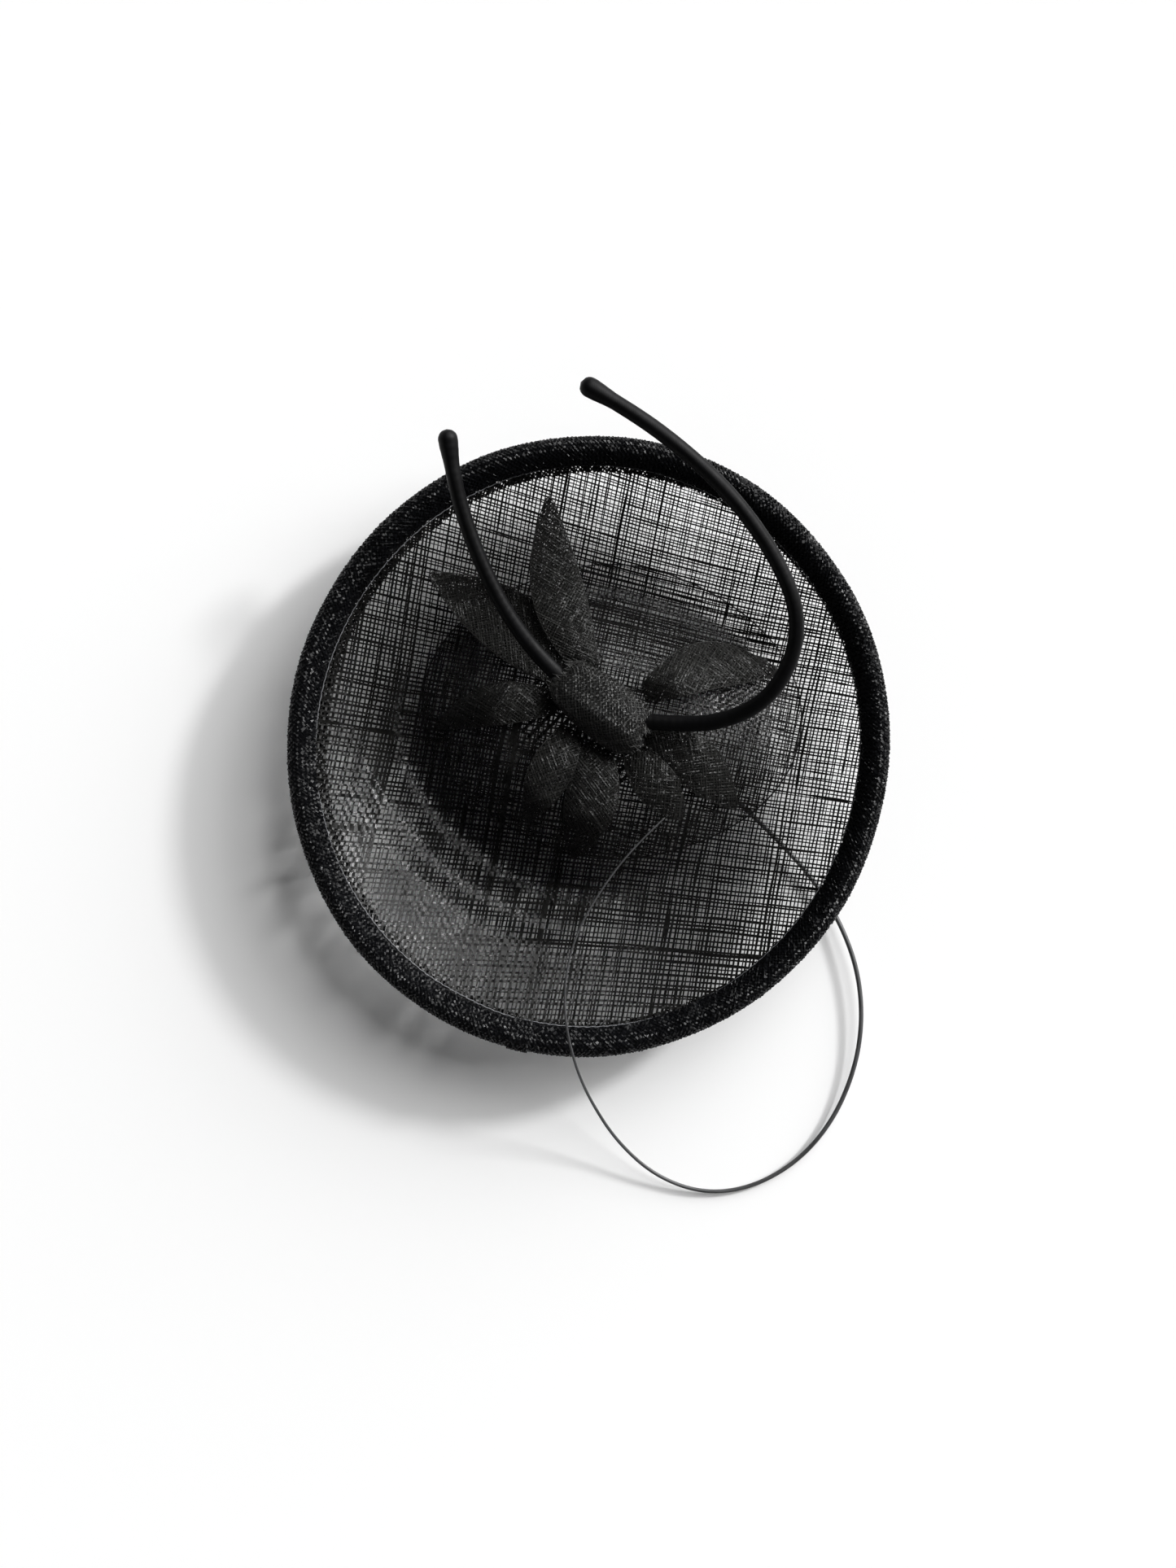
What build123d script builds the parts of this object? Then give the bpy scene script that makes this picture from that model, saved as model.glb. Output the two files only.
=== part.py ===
from build123d import *
import os
from math import cos, exp, hypot, pi, radians, sin, sqrt, tan, atan2, degrees

# Disc fascinator: a dished sinamay disc with a bound, wired edge, trimmed with sinamay
# petals, a wrapped knot, two covered wire stems and one curled quill.
# Millimetres and degrees. +Z is up, the disc's axis is Z and the table is at Z = 0.

# ---- disc and its edge ----
disc_radius = 140.0
oval_share = 0.0175
oval_direction = 75.0
sheet_thickness = 0.8
sheet_inset = 7.4
rim_height = 34.0
flange_width = 19.0
flange_slope = 0.5
soft_clearance = 0.3
flap_clearance = 0.5
binding_thickness = 1.0
binding_top_width = 13.0
binding_under_width = 18.0
binding_crest_height = 5.6
binding_roll_drop = 6.9
lap_width_angle = 4.5
lap_direction = 257.0
stitch_radius = 0.25
stitch_sides = 8
rim_wire_radius = 0.8
rim_wire_inset = 3.0
rim_wire_drop = 3.8
joiner_length = 24.0
joiner_wall = 0.3
joiner_clearance = 0.1
joiner_direction = 120.0

# ---- crown: an oval rise off the disc's axis, with a groove and a soft ridge round its front ----
crown_centre = (8.0, 17.0)
crown_height = 36.0
crown_doming = 5.0
crown_mean_radius = 78.0
crown_long_term = 10.0
crown_end_term = 3.0
crown_corner_term = 2.0
crown_turn = 5.0
groove_direction = 245.0
front_shoulder = 0.55
back_shoulder = 0.3
groove_reach = 18.0
back_reach = -12.0
ridge_offset = 16.0
ridge_width = 8.0
ridge_height = 5.0
foot_slope = 0.25
side_lift = 12.0
side_lift_direction = -20.0
side_lift_sharpness = 4
back_foot_from = 0.60
back_foot_to = 0.85
ridge_start = 0.2
ridge_end = 0.7
underlay_thickness = 0.8
underlay_drop = 1.0
underlay_floor_room = 0.4
foot_rest_height = 0.15

# ---- trim ----
knot_centre = (5.7, 17.4)
knot_direction = -38.0
knot_length = 48.0
knot_half_width = 13.5
knot_half_height = 7.5
knot_wrap_thickness = 1.0
knot_seat = 0.9
knot_core_length = 24.0
knot_end_swell = 0.88
knot_half_swell = 0.97
core_end_share = 0.8
petal_thickness = 0.8
petal_root_half_width = 4.0
petal_tip_half_width = 1.2
petal_width = 30.0
petal_layer_step = 1.3
petal_layer_start = 0.3
petal_layer_spread = 3.0
petal_arch = 5.0
petal_lean = 0.85
petal_fullness = 0.9
left_stem_offset = -1.0
right_stem_offset = 3.5
stem_radius = 3.4
stem_bulb_radius = 4.4
stem_cover_thickness = 0.6
stem_wire_radius = 0.8
piping_clearance = 0.1
quill_root_radius = 1.1
quill_tip_radius = 0.4
quill_taper_start = 0.35
tie_thickness = 0.5
tie_places = (4.0, 12.0)

# ---- fixing under the crown ----
comb_width = 66.0
comb_spine_depth = 6.0
comb_spine_thickness = 2.2
comb_tooth_length = 38.0
comb_tooth_count = 17
comb_tooth_radius = 0.8
comb_pitch_down = 10.0
comb_offset = (3.0, 5.0)
comb_direction = 225.0
comb_edge_share = 0.4
comb_clearance = 0.1
thread_width = 0.7
comb_stitch_count = 5
anchor_stitch_count = 6
anchor_ring_radius = 11.0
anchor_stitch_length = 5.0
anchor_turn = 20.0

# ---- open cloth: the disc's brim as a coarse grid of straps ----
mesh_count = 12
mesh_strap = 6.0
mesh_margin = 3.0

rod_step = 5.0
cut_excess = 1.0
bulb_end_share = 0.35
surface_samples = 49
surface_tolerance = 0.4

# ---- worked out from the sizes above ----
sheet_radius = disc_radius - sheet_inset
flange_radius = disc_radius - flange_width
binding_top_edge = disc_radius - binding_top_width
binding_under_edge = disc_radius - binding_under_width
joiner_radius = rim_wire_radius + joiner_clearance + joiner_wall
mesh_pitch = 2 * sheet_radius / mesh_count
comb_tooth_pitch = (comb_width - comb_spine_depth) / (comb_tooth_count - 1)


def smooth(low, high, value):
    """Zero below low, one above high and an even S between them."""
    share = min(1.0, max(0.0, (value - low) / (high - low)))
    return share * share * (3.0 - 2.0 * share)


def mix(start, end, share):
    return start + (end - start) * share


def eased(start, end, start_rise, end_rise, share):
    """A cubic from start to end that leaves and arrives at the given rises."""
    near = 1 - share
    middle = start_rise * share * near ** 2 - end_rise * near * share ** 2
    return mix(start, end, share * share * (3 - 2 * share)) + middle


def front_share(angle):
    """One where the groove is deepest, zero on the opposite side."""
    return 0.5 * (1.0 + cos(radians(angle - groove_direction)))


def crown_outline(angle):
    """Distance from the crown's centre to its oval shoulder line."""
    turned = radians(angle + crown_turn)
    shape = crown_end_term * cos(turned) + crown_long_term * cos(2 * turned)
    return crown_mean_radius + shape + crown_corner_term * cos(4 * turned)


def crown_foot(angle):
    return crown_outline(angle) + mix(back_reach, groove_reach, front_share(angle))


def foot_height(angle):
    """The foot ring stands on the table, but for a lifted stretch at one side."""
    lobe = max(0.0, cos(radians(angle - side_lift_direction))) ** side_lift_sharpness
    under = underlay_drop + underlay_thickness + underlay_floor_room
    back = under * (1 - smooth(back_foot_from, back_foot_to, front_share(angle)))
    return foot_rest_height + max(side_lift * lobe, back)


def round_plan(x, y):
    """The place on a truly round disc that the oval blocking moves to (x, y)."""
    turn = radians(oval_direction)
    along = (x * cos(turn) + y * sin(turn)) / (1 + oval_share)
    across = (y * cos(turn) - x * sin(turn)) / (1 - oval_share)
    return (along * cos(turn) - across * sin(turn), along * sin(turn) + across * cos(turn))


def oval_distance(start, angle, radius):
    """From start, at an angle, to the oval that was a circle of this radius."""
    x, y = round_plan(*start)
    ahead = round_plan(cos(radians(angle)), sin(radians(angle)))
    size = hypot(*ahead)
    along = (x * ahead[0] + y * ahead[1]) / size
    return (sqrt(along * along + radius * radius - x * x - y * y) - along) / size


def flange_height(radius):
    return rim_height - flange_slope * (sheet_radius - radius)


def disc_height(x, y):
    """Height of the underside of the disc's sheet above the table."""
    radius = hypot(*round_plan(x, y))
    if radius >= flange_radius:
        return flange_height(min(radius, sheet_radius))
    dx = x - crown_centre[0]
    dy = y - crown_centre[1]
    reach = hypot(dx, dy)
    angle = degrees(atan2(dy, dx))
    share = front_share(angle)
    foot = crown_foot(angle)
    low = foot_height(angle)
    if reach < foot:
        shoulder = mix(back_shoulder, front_shoulder, share)
        top = crown_height - crown_doming * (reach / foot) ** 2
        return mix(top, low, smooth(shoulder, 1.0, reach / foot))
    width = oval_distance(crown_centre, angle, flange_radius) - foot
    run = (reach - foot) / width
    rise = eased(low, flange_height(flange_radius), foot_slope * width, flange_slope * width, run)
    ridge = exp(-(((reach - foot - ridge_offset) / ridge_width) ** 2))
    ridge *= smooth(0.0, ridge_start, run) * (1 - smooth(ridge_end, 1.0, run))
    return rise + ridge_height * share * ridge


def disc_top(x, y):
    return disc_height(x, y) + sheet_thickness


def underlay_bottom(x, y):
    return disc_height(x, y) - underlay_drop - underlay_thickness


def fitted_sheet(grid, thickness):
    """A sheet whose underside passes through a grid of points, thick along Z."""
    face = Face.make_surface_from_array_of_points(grid, tol=surface_tolerance, min_deg=3, max_deg=3)
    return extrude(face, amount=thickness, dir=(0, 0, 1))


def round_sheet(height, centre, reach, thickness):
    """A sheet inside a closed outline, reach(angle) from the centre, at height(x, y)."""
    line = [-1 + 2 * index / (surface_samples - 1) for index in range(surface_samples)]
    grid = []
    for down in line:
        row = []
        for over in line:
            right = over * sqrt(1 - down * down / 2)
            up = down * sqrt(1 - over * over / 2)
            angle = degrees(atan2(up, right))
            x, y = polar(centre, hypot(right, up) * reach(angle), angle)
            row.append(Vector(x, y, height(x, y)))
        grid.append(row)
    return fitted_sheet(grid, thickness)


def polar(centre, radius, angle):
    return (centre[0] + radius * cos(radians(angle)), centre[1] + radius * sin(radians(angle)))


def turned_section(outline):
    """Revolves a closed outline of (radius, height) points about Z."""
    face = make_face(Polyline(*[(radius, 0, height) for radius, height in outline], close=True))
    return revolve(face, axis=Axis.Z)


def ovaled(shape):
    """Stretches a round piece to the disc's slight oval."""
    turn = Rot(0, 0, oval_direction)
    straight = Rot(0, 0, -oval_direction) * shape
    return turn * scale(straight, by=(1 + oval_share, 1 - oval_share, 1))


def offset_line(points, amount):
    """Moves each point of an open line of (radius, height) points along the line's normal."""
    moved = []
    for index, (radius, height) in enumerate(points):
        before = points[max(index - 1, 0)]
        after = points[min(index + 1, len(points) - 1)]
        run = after[0] - before[0]
        rise = after[1] - before[1]
        size = hypot(run, rise)
        moved.append((radius - amount * rise / size, height + amount * run / size))
    return moved


def strip_section(points, near, far):
    """The closed outline between two offsets of an open line."""
    return offset_line(points, near) + offset_line(points, far)[::-1]


def save(name, shape):
    shape.label = name
    export_step(shape, f"parts/{name}.step")


# ---- disc, underlay and edge ----
def brim_openings():
    """Square prisms of the open cloth, between the underlay and the binding."""
    half = (mesh_pitch - mesh_strap) / 2
    line = [(index + 0.5 - mesh_count / 2) * mesh_pitch for index in range(mesh_count)]
    prisms = []
    for x in line:
        for y in line:
            corners = [(x + half * right, y + half * up) for right in (-1, 1) for up in (-1, 1)]
            outermost = max(hypot(*round_plan(*corner)) for corner in corners)
            nearest = min(beyond_crown(*corner) for corner in corners)
            if outermost < binding_under_edge - mesh_margin and nearest > mesh_margin:
                prisms.append(Pos(x, y, 0) * Box(2 * half, 2 * half, 3 * rim_height))
    return prisms


def beyond_crown(x, y):
    """How far a place lies outside the crown's oval."""
    dx = x - crown_centre[0]
    dy = y - crown_centre[1]
    return hypot(dx, dy) - crown_outline(degrees(atan2(dy, dx)))


def make_disc():
    def reach(angle):
        return oval_distance((0, 0), angle, sheet_radius)
    return round_sheet(disc_height, (0, 0), reach, sheet_thickness) - brim_openings()


def make_underlay():
    return round_sheet(underlay_bottom, crown_centre, crown_outline, underlay_thickness)


def binding_line():
    """Middle line of the bound edge: top flap, crest, outside, underside flap."""
    above = sheet_thickness + flap_clearance + binding_thickness / 2
    below = flap_clearance + binding_thickness / 2
    middle = disc_radius - binding_thickness / 2
    inner = binding_top_edge
    under = binding_under_edge
    crest = rim_height + binding_crest_height
    return [
        (inner, flange_height(inner) + above),
        (mix(inner, middle, 0.20), mix(flange_height(inner) + above, crest, 0.46)),
        (mix(inner, middle, 0.40), mix(flange_height(inner) + above, crest, 0.82)),
        (mix(inner, middle, 0.62), crest),
        (mix(inner, middle, 0.84), crest - 0.13 * binding_roll_drop),
        (mix(inner, middle, 0.97), crest - 0.42 * binding_roll_drop),
        (middle, crest - 0.72 * binding_roll_drop),
        (mix(inner, middle, 0.93), crest - binding_roll_drop),
        (mix(inner, middle, 0.74), flange_height(sheet_radius) - below - flap_clearance),
        (mix(under, middle, 0.50), flange_height(mix(under, middle, 0.50)) - below),
        (under, flange_height(under) - below),
    ]


def make_binding():
    half = binding_thickness / 2
    return ovaled(turned_section(strip_section(binding_line(), half, -half)))


def make_binding_lap():
    """The binding's end turned over and sewn down across its start."""
    inside = binding_thickness / 2 + soft_clearance
    outline = strip_section(binding_line()[:-1], inside, inside + binding_thickness / 2)
    face = make_face(Polyline(*[(radius, 0, height) for radius, height in outline], close=True))
    lap = revolve(face, axis=Axis.Z, revolution_arc=lap_width_angle)
    return ovaled(Rot(0, 0, lap_direction - lap_width_angle / 2) * lap)


def make_binding_stitch():
    line = binding_top_edge - binding_thickness / 2 - stitch_radius
    height = flange_height(line) + sheet_thickness + soft_clearance + stitch_radius
    section = Pos(line, 0, height) * Rot(90, 0, 0) * RegularPolygon(stitch_radius, stitch_sides)
    return ovaled(revolve(section, Axis.Z))


def rim_wire_place():
    """Radius and height of the wire's middle, tucked into the binding's outer corner."""
    return disc_radius - rim_wire_inset, rim_height + binding_crest_height - rim_wire_drop


def make_rim_wire():
    radius, height = rim_wire_place()
    return ovaled(Pos(0, 0, height) * Torus(radius, rim_wire_radius))


def make_wire_joiner():
    radius, height = rim_wire_place()
    ring = Circle(joiner_radius) - Circle(joiner_radius - joiner_wall)
    span = degrees(joiner_length / radius)
    tube = revolve(Plane.XZ * Pos(radius, height) * ring, axis=Axis.Z, revolution_arc=span)
    return ovaled(Rot(0, 0, joiner_direction - span / 2) * tube)


# ---- petals: root in shares of the knot's half length and half width, tip in shares of the
# disc's radius, sideways bow and half width in shares of a petal's width, layer, crease along
# the middle in the same shares, and how far the petal spans straight from root to tip ----
petals = {
    "petal_upper_left": ((-0.84, 0.10), (-0.561, 0.446), -0.13, 0.50, 0, -0.10, 0.5),
    "petal_upper": ((-0.61, 0.66), (-0.171, 0.689), 0.17, 0.40, 1, 0.07, 0.6),
    "petal_right": ((0.49, 1.29), (0.596, 0.125), 0.27, 0.38, 1, 0.08, 0.0),
    "petal_lower_right": ((1.03, 0.30), (0.450, -0.325), 0.10, 0.38, 0, 0.07, 0.0),
    "petal_lower_middle": ((1.00, -0.59), (0.268, -0.361), 0.0, 0.32, 1, 0.07, 0.0),
    "petal_lower": ((0.35, -0.97), (-0.096, -0.496), 0.10, 0.40, 0, 0.10, 0.0),
    "petal_lower_left": ((-0.17, -1.18), (-0.243, -0.368), 0.0, 0.32, 1, 0.07, 0.0),
    "petal_left": ((-0.72, -0.77), (-0.546, -0.054), -0.13, 0.32, 0, 0.07, 0.0),
}


def petal_rows(along_count, across_count):
    """Shares along a petal from 0 to 1, and across it from -1 to 1."""
    along = [row / (along_count - 1) for row in range(along_count)]
    across = [2 * column / (across_count - 1) - 1 for column in range(across_count)]
    return along, across


def make_petal(root, tip, bow, half_width, layer, crease, span):
    """A thin leaf that rises from the knot, arches and dips to its tip."""
    start = polar(knot_centre, root[0] * knot_length / 2, knot_direction)
    start = polar(start, root[1] * knot_half_width, knot_direction + 90)
    end = (knot_centre[0] + tip[0] * disc_radius, knot_centre[1] + tip[1] * disc_radius)
    length = hypot(end[0] - start[0], end[1] - start[1])
    across = ((start[1] - end[1]) / length, (end[0] - start[0]) / length)
    rows = []
    shares, sides = petal_rows(13, 9)
    for share in shares:
        belly = sin(pi * share ** petal_lean)
        edge = mix(petal_root_half_width, petal_tip_half_width, share)
        half = mix(edge, half_width * petal_width, belly ** petal_fullness)
        sideways = bow * petal_width * sin(pi * share)
        lift = petal_arch * belly
        lift += layer * (petal_layer_step * smooth(0, petal_layer_start, share) + petal_layer_spread * share)
        straight = mix(disc_top(*start), disc_top(*end), share)
        line = []
        for side in sides:
            x = mix(start[0], end[0], share) + across[0] * (sideways + half * side)
            y = mix(start[1], end[1], share) + across[1] * (sideways + half * side)
            fold = crease * petal_width * belly * (1 - side * side)
            rest = mix(disc_top(x, y), straight, span * belly)
            line.append(Vector(x, y, rest + soft_clearance + lift + fold))
        rows.append(line)
    return fitted_sheet(rows, petal_thickness)


# ---- knot ----
def knot_middle_height():
    return disc_top(*knot_centre) + knot_seat + knot_half_height


def knot_plane(offset):
    """Plane across the knot's axis, offset along it from the middle."""
    x, y = polar(knot_centre, offset, knot_direction)
    axis = (cos(radians(knot_direction)), sin(radians(knot_direction)), 0)
    return Plane(origin=(x, y, knot_middle_height()), x_dir=(-axis[1], axis[0], 0), z_dir=axis)


def knot_barrel(thinner, longer):
    sections = []
    swells = (knot_end_swell, knot_half_swell, 1.0, knot_half_swell, knot_end_swell)
    for place, swell in zip((-1.0, -0.5, 0.0, 0.5, 1.0), swells):
        wide = knot_half_width * swell - thinner
        high = knot_half_height * swell - thinner
        sections.append(knot_plane(place * (knot_length / 2 + longer)) * Ellipse(wide, high))
    return loft(sections)


def stem_room(route):
    """The way that a stem takes out of the knot, with clearance round it."""
    size = stem_radius + soft_clearance
    return round_rod(rounded_path(route), lambda length, whole: size, near_knot_stations)


def make_knot_wrap():
    wrap = knot_barrel(0, 0) - knot_barrel(knot_wrap_thickness, cut_excess)
    return wrap - stem_room(left_stem_route) - stem_room(right_stem_route)


def make_knot_core():
    wide = knot_half_width - knot_wrap_thickness - soft_clearance
    high = knot_half_height - knot_wrap_thickness - soft_clearance
    half = knot_core_length / 2
    end = Ellipse(core_end_share * wide, core_end_share * high)
    return loft([knot_plane(-half) * end, knot_plane(0) * Ellipse(wide, high), knot_plane(half) * end])


# ---- routes of the stems and the quill: hand-set points, rounded with tangent arcs ----
def core_end(side, across, room):
    """A point past one end of the knot's core by room, and off its axis by across."""
    x, y = polar(knot_centre, side * (knot_core_length / 2 + room), knot_direction)
    x, y = polar((x, y), across, knot_direction + 90)
    return (x, y, knot_middle_height())


def from_knot(right, up, rise):
    """A place over the knot's middle, in shares of the disc's radius."""
    x = knot_centre[0] + right * disc_radius
    y = knot_centre[1] + up * disc_radius
    return (x, y, knot_middle_height() + rise * disc_radius)


left_stem_route = [
    core_end(-1, left_stem_offset, soft_clearance),
    from_knot(-0.169, 0.126, 0.004),
    from_knot(-0.291, 0.279, 0.043),
    from_knot(-0.376, 0.440, 0.086),
    from_knot(-0.441, 0.615, 0.129),
    from_knot(-0.473, 0.761, 0.157),
    from_knot(-0.486, 0.869, 0.175),
]

right_stem_route = [
    core_end(1, right_stem_offset, soft_clearance + stem_radius / 2),
    from_knot(0.231, -0.056, 0.014),
    from_knot(0.381, -0.053, 0.064),
    from_knot(0.524, 0.011, 0.139),
    from_knot(0.606, 0.147, 0.204),
    from_knot(0.613, 0.297, 0.257),
    from_knot(0.538, 0.458, 0.300),
    from_knot(0.416, 0.622, 0.343),
    from_knot(0.271, 0.758, 0.379),
    from_knot(0.090, 0.889, 0.407),
    from_knot(-0.063, 0.971, 0.425),
]


def on_disc(right, up):
    """A place in plan, as shares of the disc's radius."""
    return (right * disc_radius, up * disc_radius)


def below_underlay(right, up, more):
    x, y = on_disc(right, up)
    return (x, y, underlay_bottom(x, y) - quill_root_radius - more)


def above_table(right, up, rise):
    return (*on_disc(right, up), quill_root_radius + rise)


def above_rim(right, up, rise):
    return (*on_disc(right, up), rim_height + binding_crest_height + quill_root_radius + rise)


quill_route = [
    below_underlay(0.26, 0.02, 0.8),
    below_underlay(0.38, -0.08, 2.2),
    below_underlay(0.50, -0.18, 5.0),
    above_table(0.635, -0.31, 4.5),
    above_table(0.755, -0.44, 2.6),
    above_table(0.845, -0.585, 4.0),
    above_table(0.905, -0.745, 4.8),
    above_table(0.922, -0.915, 4.4),
    above_table(0.897, -1.085, 3.4),
    above_table(0.823, -1.260, 2.1),
    above_table(0.703, -1.400, 1.1),
    above_table(0.545, -1.487, 0.6),
    above_table(0.383, -1.503, 1.1),
    above_table(0.223, -1.440, 3.9),
    above_table(0.094, -1.315, 11.0),
    above_table(0.008, -1.168, 24.0),
    above_rim(-0.04, -1.045, -1.0),
    above_rim(-0.075, -0.895, 4.5),
    above_rim(-0.075, -0.743, 5.0),
    above_rim(-0.036, -0.60, 4.5),
    above_rim(0.043, -0.464, 3.5),
    above_rim(0.143, -0.332, 2.5),
    above_rim(0.25, -0.232, 1.5),
]


def arc_radii(points, share=0.45):
    """Largest tangent arcs that the straight runs beside each point allow."""
    radii = []
    for before, here, after in zip(points, points[1:], points[2:]):
        run_in = Vector(*here) - Vector(*before)
        run_out = Vector(*after) - Vector(*here)
        turn = radians(run_in.get_angle(run_out))
        radii.append(share * min(run_in.length, run_out.length) / tan(turn / 2))
    return radii


def rounded_path(points):
    return FilletPolyline(*points, radius=arc_radii(points))


def round_rod(path, radius_at, stations):
    """A rod along the path whose radius follows radius_at(length, whole length)."""
    whole = path.length
    sections = []
    for length in stations(whole):
        place = path.position_at(length / whole)
        ahead = path.tangent_at(length / whole)
        side = Vector(0, 0, 1).cross(ahead)
        plane = Plane(origin=place, x_dir=side, z_dir=ahead)
        sections.append(plane * Circle(radius_at(length, whole)))
    return loft(sections, ruled=True)


def even_stations(stop_short):
    """Lengths along a rod, about a step apart, that end short of its tip."""
    def stations(whole):
        count = round((whole - stop_short) / rod_step)
        return [mix(0.0, whole - stop_short, index / count) for index in range(count + 1)]
    return stations


def near_knot_stations(whole):
    return even_stations(0.0)(knot_length)


def stem_radius_at(length, whole):
    """Even along the stem, swelling to a rounded bulb at the tip."""
    left = whole - length
    swell = mix(stem_radius, stem_bulb_radius, 1 - smooth(stem_bulb_radius, 4 * stem_bulb_radius, left))
    if left >= stem_bulb_radius:
        return swell
    short = stem_bulb_radius - left
    return max(bulb_end_share * stem_bulb_radius, sqrt(max(0.0, stem_bulb_radius ** 2 - short ** 2)))


def cover_stations(whole):
    body = even_stations(stem_bulb_radius)(whole)
    return body + [whole - stem_bulb_radius * share for share in (0.6, 0.3, 0.1, 0.0)]


def make_stem(route):
    """The fabric cover, the cotton piping in it and the wire down the middle."""
    path = rounded_path(route)
    bore = stem_radius - stem_cover_thickness
    piping = bore - piping_clearance
    wire_hole = stem_wire_radius + piping_clearance
    inside = even_stations(2 * stem_bulb_radius)
    deeper = even_stations(2 * stem_bulb_radius - piping_clearance)
    cover = round_rod(path, stem_radius_at, cover_stations)
    cover -= round_rod(path, lambda length, whole: bore, deeper)
    filling = round_rod(path, lambda length, whole: piping, inside)
    filling -= round_rod(path, lambda length, whole: wire_hole, inside)
    wire = round_rod(path, lambda length, whole: stem_wire_radius, inside)
    return cover, filling, wire


def quill_radius_at(length, whole):
    return mix(quill_root_radius, quill_tip_radius, smooth(quill_taper_start, 1.0, length / whole))


def make_quill():
    return round_rod(rounded_path(quill_route), quill_radius_at, even_stations(0.0))


def make_quill_ties():
    """Two thread loops that hold the quill's root to the underlay."""
    path = rounded_path(quill_route)
    ties = []
    for length in tie_places:
        share = length / path.length
        plane = Plane(origin=path.position_at(share), z_dir=path.tangent_at(share))
        bore = quill_root_radius + piping_clearance
        ring = Circle(bore + tie_thickness) - Circle(bore)
        ties.append(extrude(plane * ring, amount=thread_width))
    return Compound(children=ties)


# ---- comb and stitches under the crown ----
def comb_middle():
    return (crown_centre[0] + comb_offset[0], crown_centre[1] + comb_offset[1])


def comb_room(reach, side, top):
    """The height that leaves top under the underlay, reach ahead of the spine and side along it."""
    middle = polar(comb_middle(), reach, comb_direction)
    place = polar(middle, side, comb_direction + 90)
    return underlay_bottom(*place) - top + reach * sin(radians(comb_pitch_down))


def comb_spine_height():
    """Middle height of the tipped spine: its ends and thread loops just clear the underlay."""
    loop = soft_clearance + tie_thickness
    top = comb_spine_thickness / 2
    rooms = []
    for edge in (-comb_spine_depth / 2, comb_spine_depth / 2):
        rooms += [comb_room(edge, side * comb_width / 2, top) for side in (-1, 1)]
        rooms += [comb_room(edge, slot * comb_tooth_pitch, top + loop) for slot in comb_stitch_slots()]
    return min(rooms) - comb_clearance


def comb_location():
    """Spine along X and teeth along +Y, turned to the comb's direction and tipped down."""
    turn = Rot(0, 0, comb_direction - 90)
    return Pos(*comb_middle(), comb_spine_height()) * turn * Rot(-comb_pitch_down, 0, 0)


def make_comb():
    spine = Box(comb_width, comb_spine_depth, comb_spine_thickness)
    spine = fillet(spine.edges(), comb_edge_share * comb_spine_thickness)
    root = comb_spine_depth / 2 - comb_tooth_radius
    tooth = Cylinder(comb_tooth_radius, comb_tooth_length, align=(Align.CENTER, Align.CENTER, Align.MIN))
    tooth += Pos(0, 0, comb_tooth_length) * Sphere(comb_tooth_radius)
    tooth = Pos(0, root, 0) * Rot(-90, 0, 0) * tooth
    comb = spine
    for index in range(comb_tooth_count):
        comb += Pos((index - (comb_tooth_count - 1) / 2) * comb_tooth_pitch, 0, 0) * tooth
    return comb_location() * comb


def comb_stitch_slots():
    """Gaps between teeth that carry a thread loop, counted in tooth pitches from the middle."""
    span = (comb_tooth_count - 1) // 2 - 0.5
    shares = [index / (comb_stitch_count - 1) for index in range(comb_stitch_count)]
    return [round(mix(-span, span, share) - 0.5) + 0.5 for share in shares]


def make_comb_stitches():
    """Thread loops round the spine, between its teeth's roots."""
    inner = Rectangle(comb_spine_depth + 2 * soft_clearance, comb_spine_thickness + 2 * soft_clearance)
    depth = comb_spine_depth + 2 * (soft_clearance + tie_thickness)
    height = comb_spine_thickness + 2 * (soft_clearance + tie_thickness)
    band = extrude(Plane.YZ * (Rectangle(depth, height) - inner), amount=thread_width / 2, both=True)
    loops = [comb_location() * Pos(slot * comb_tooth_pitch, 0, 0) * band for slot in comb_stitch_slots()]
    return Compound(children=loops)


def make_anchor_stitches():
    """Short stitches on the underlay that carry the knot and petals."""
    bar = extrude(Circle(stitch_radius), amount=anchor_stitch_length / 2, both=True)
    stitches = []
    for index in range(anchor_stitch_count):
        angle = index * 360 / anchor_stitch_count + anchor_turn
        x, y = polar(knot_centre, anchor_ring_radius, angle)
        height = underlay_bottom(x, y) - soft_clearance - stitch_radius
        stitches.append(Pos(x, y, height) * Rot(0, 0, angle + 90) * Rot(0, 90, 0) * bar)
    return Compound(children=stitches)


def main():
    os.makedirs("parts", exist_ok=True)
    save("sinamay_disc", make_disc())
    save("crown_underlay", make_underlay())
    save("edge_binding", make_binding())
    save("binding_lap", make_binding_lap())
    save("binding_stitch", make_binding_stitch())
    save("rim_wire", make_rim_wire())
    save("rim_wire_joiner", make_wire_joiner())
    for name, shape in petals.items():
        save(name, make_petal(*shape))
    save("knot_wrap", make_knot_wrap())
    save("knot_core", make_knot_core())
    for side, route in (("left", left_stem_route), ("right", right_stem_route)):
        cover, filling, wire = make_stem(route)
        save(f"{side}_stem_cover", cover)
        save(f"{side}_stem_piping", filling)
        save(f"{side}_stem_wire", wire)
    save("curled_quill", make_quill())
    save("quill_ties", make_quill_ties())
    save("hair_comb", make_comb())
    save("comb_stitches", make_comb_stitches())
    save("anchor_stitches", make_anchor_stitches())


main()
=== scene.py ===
import math

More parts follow.
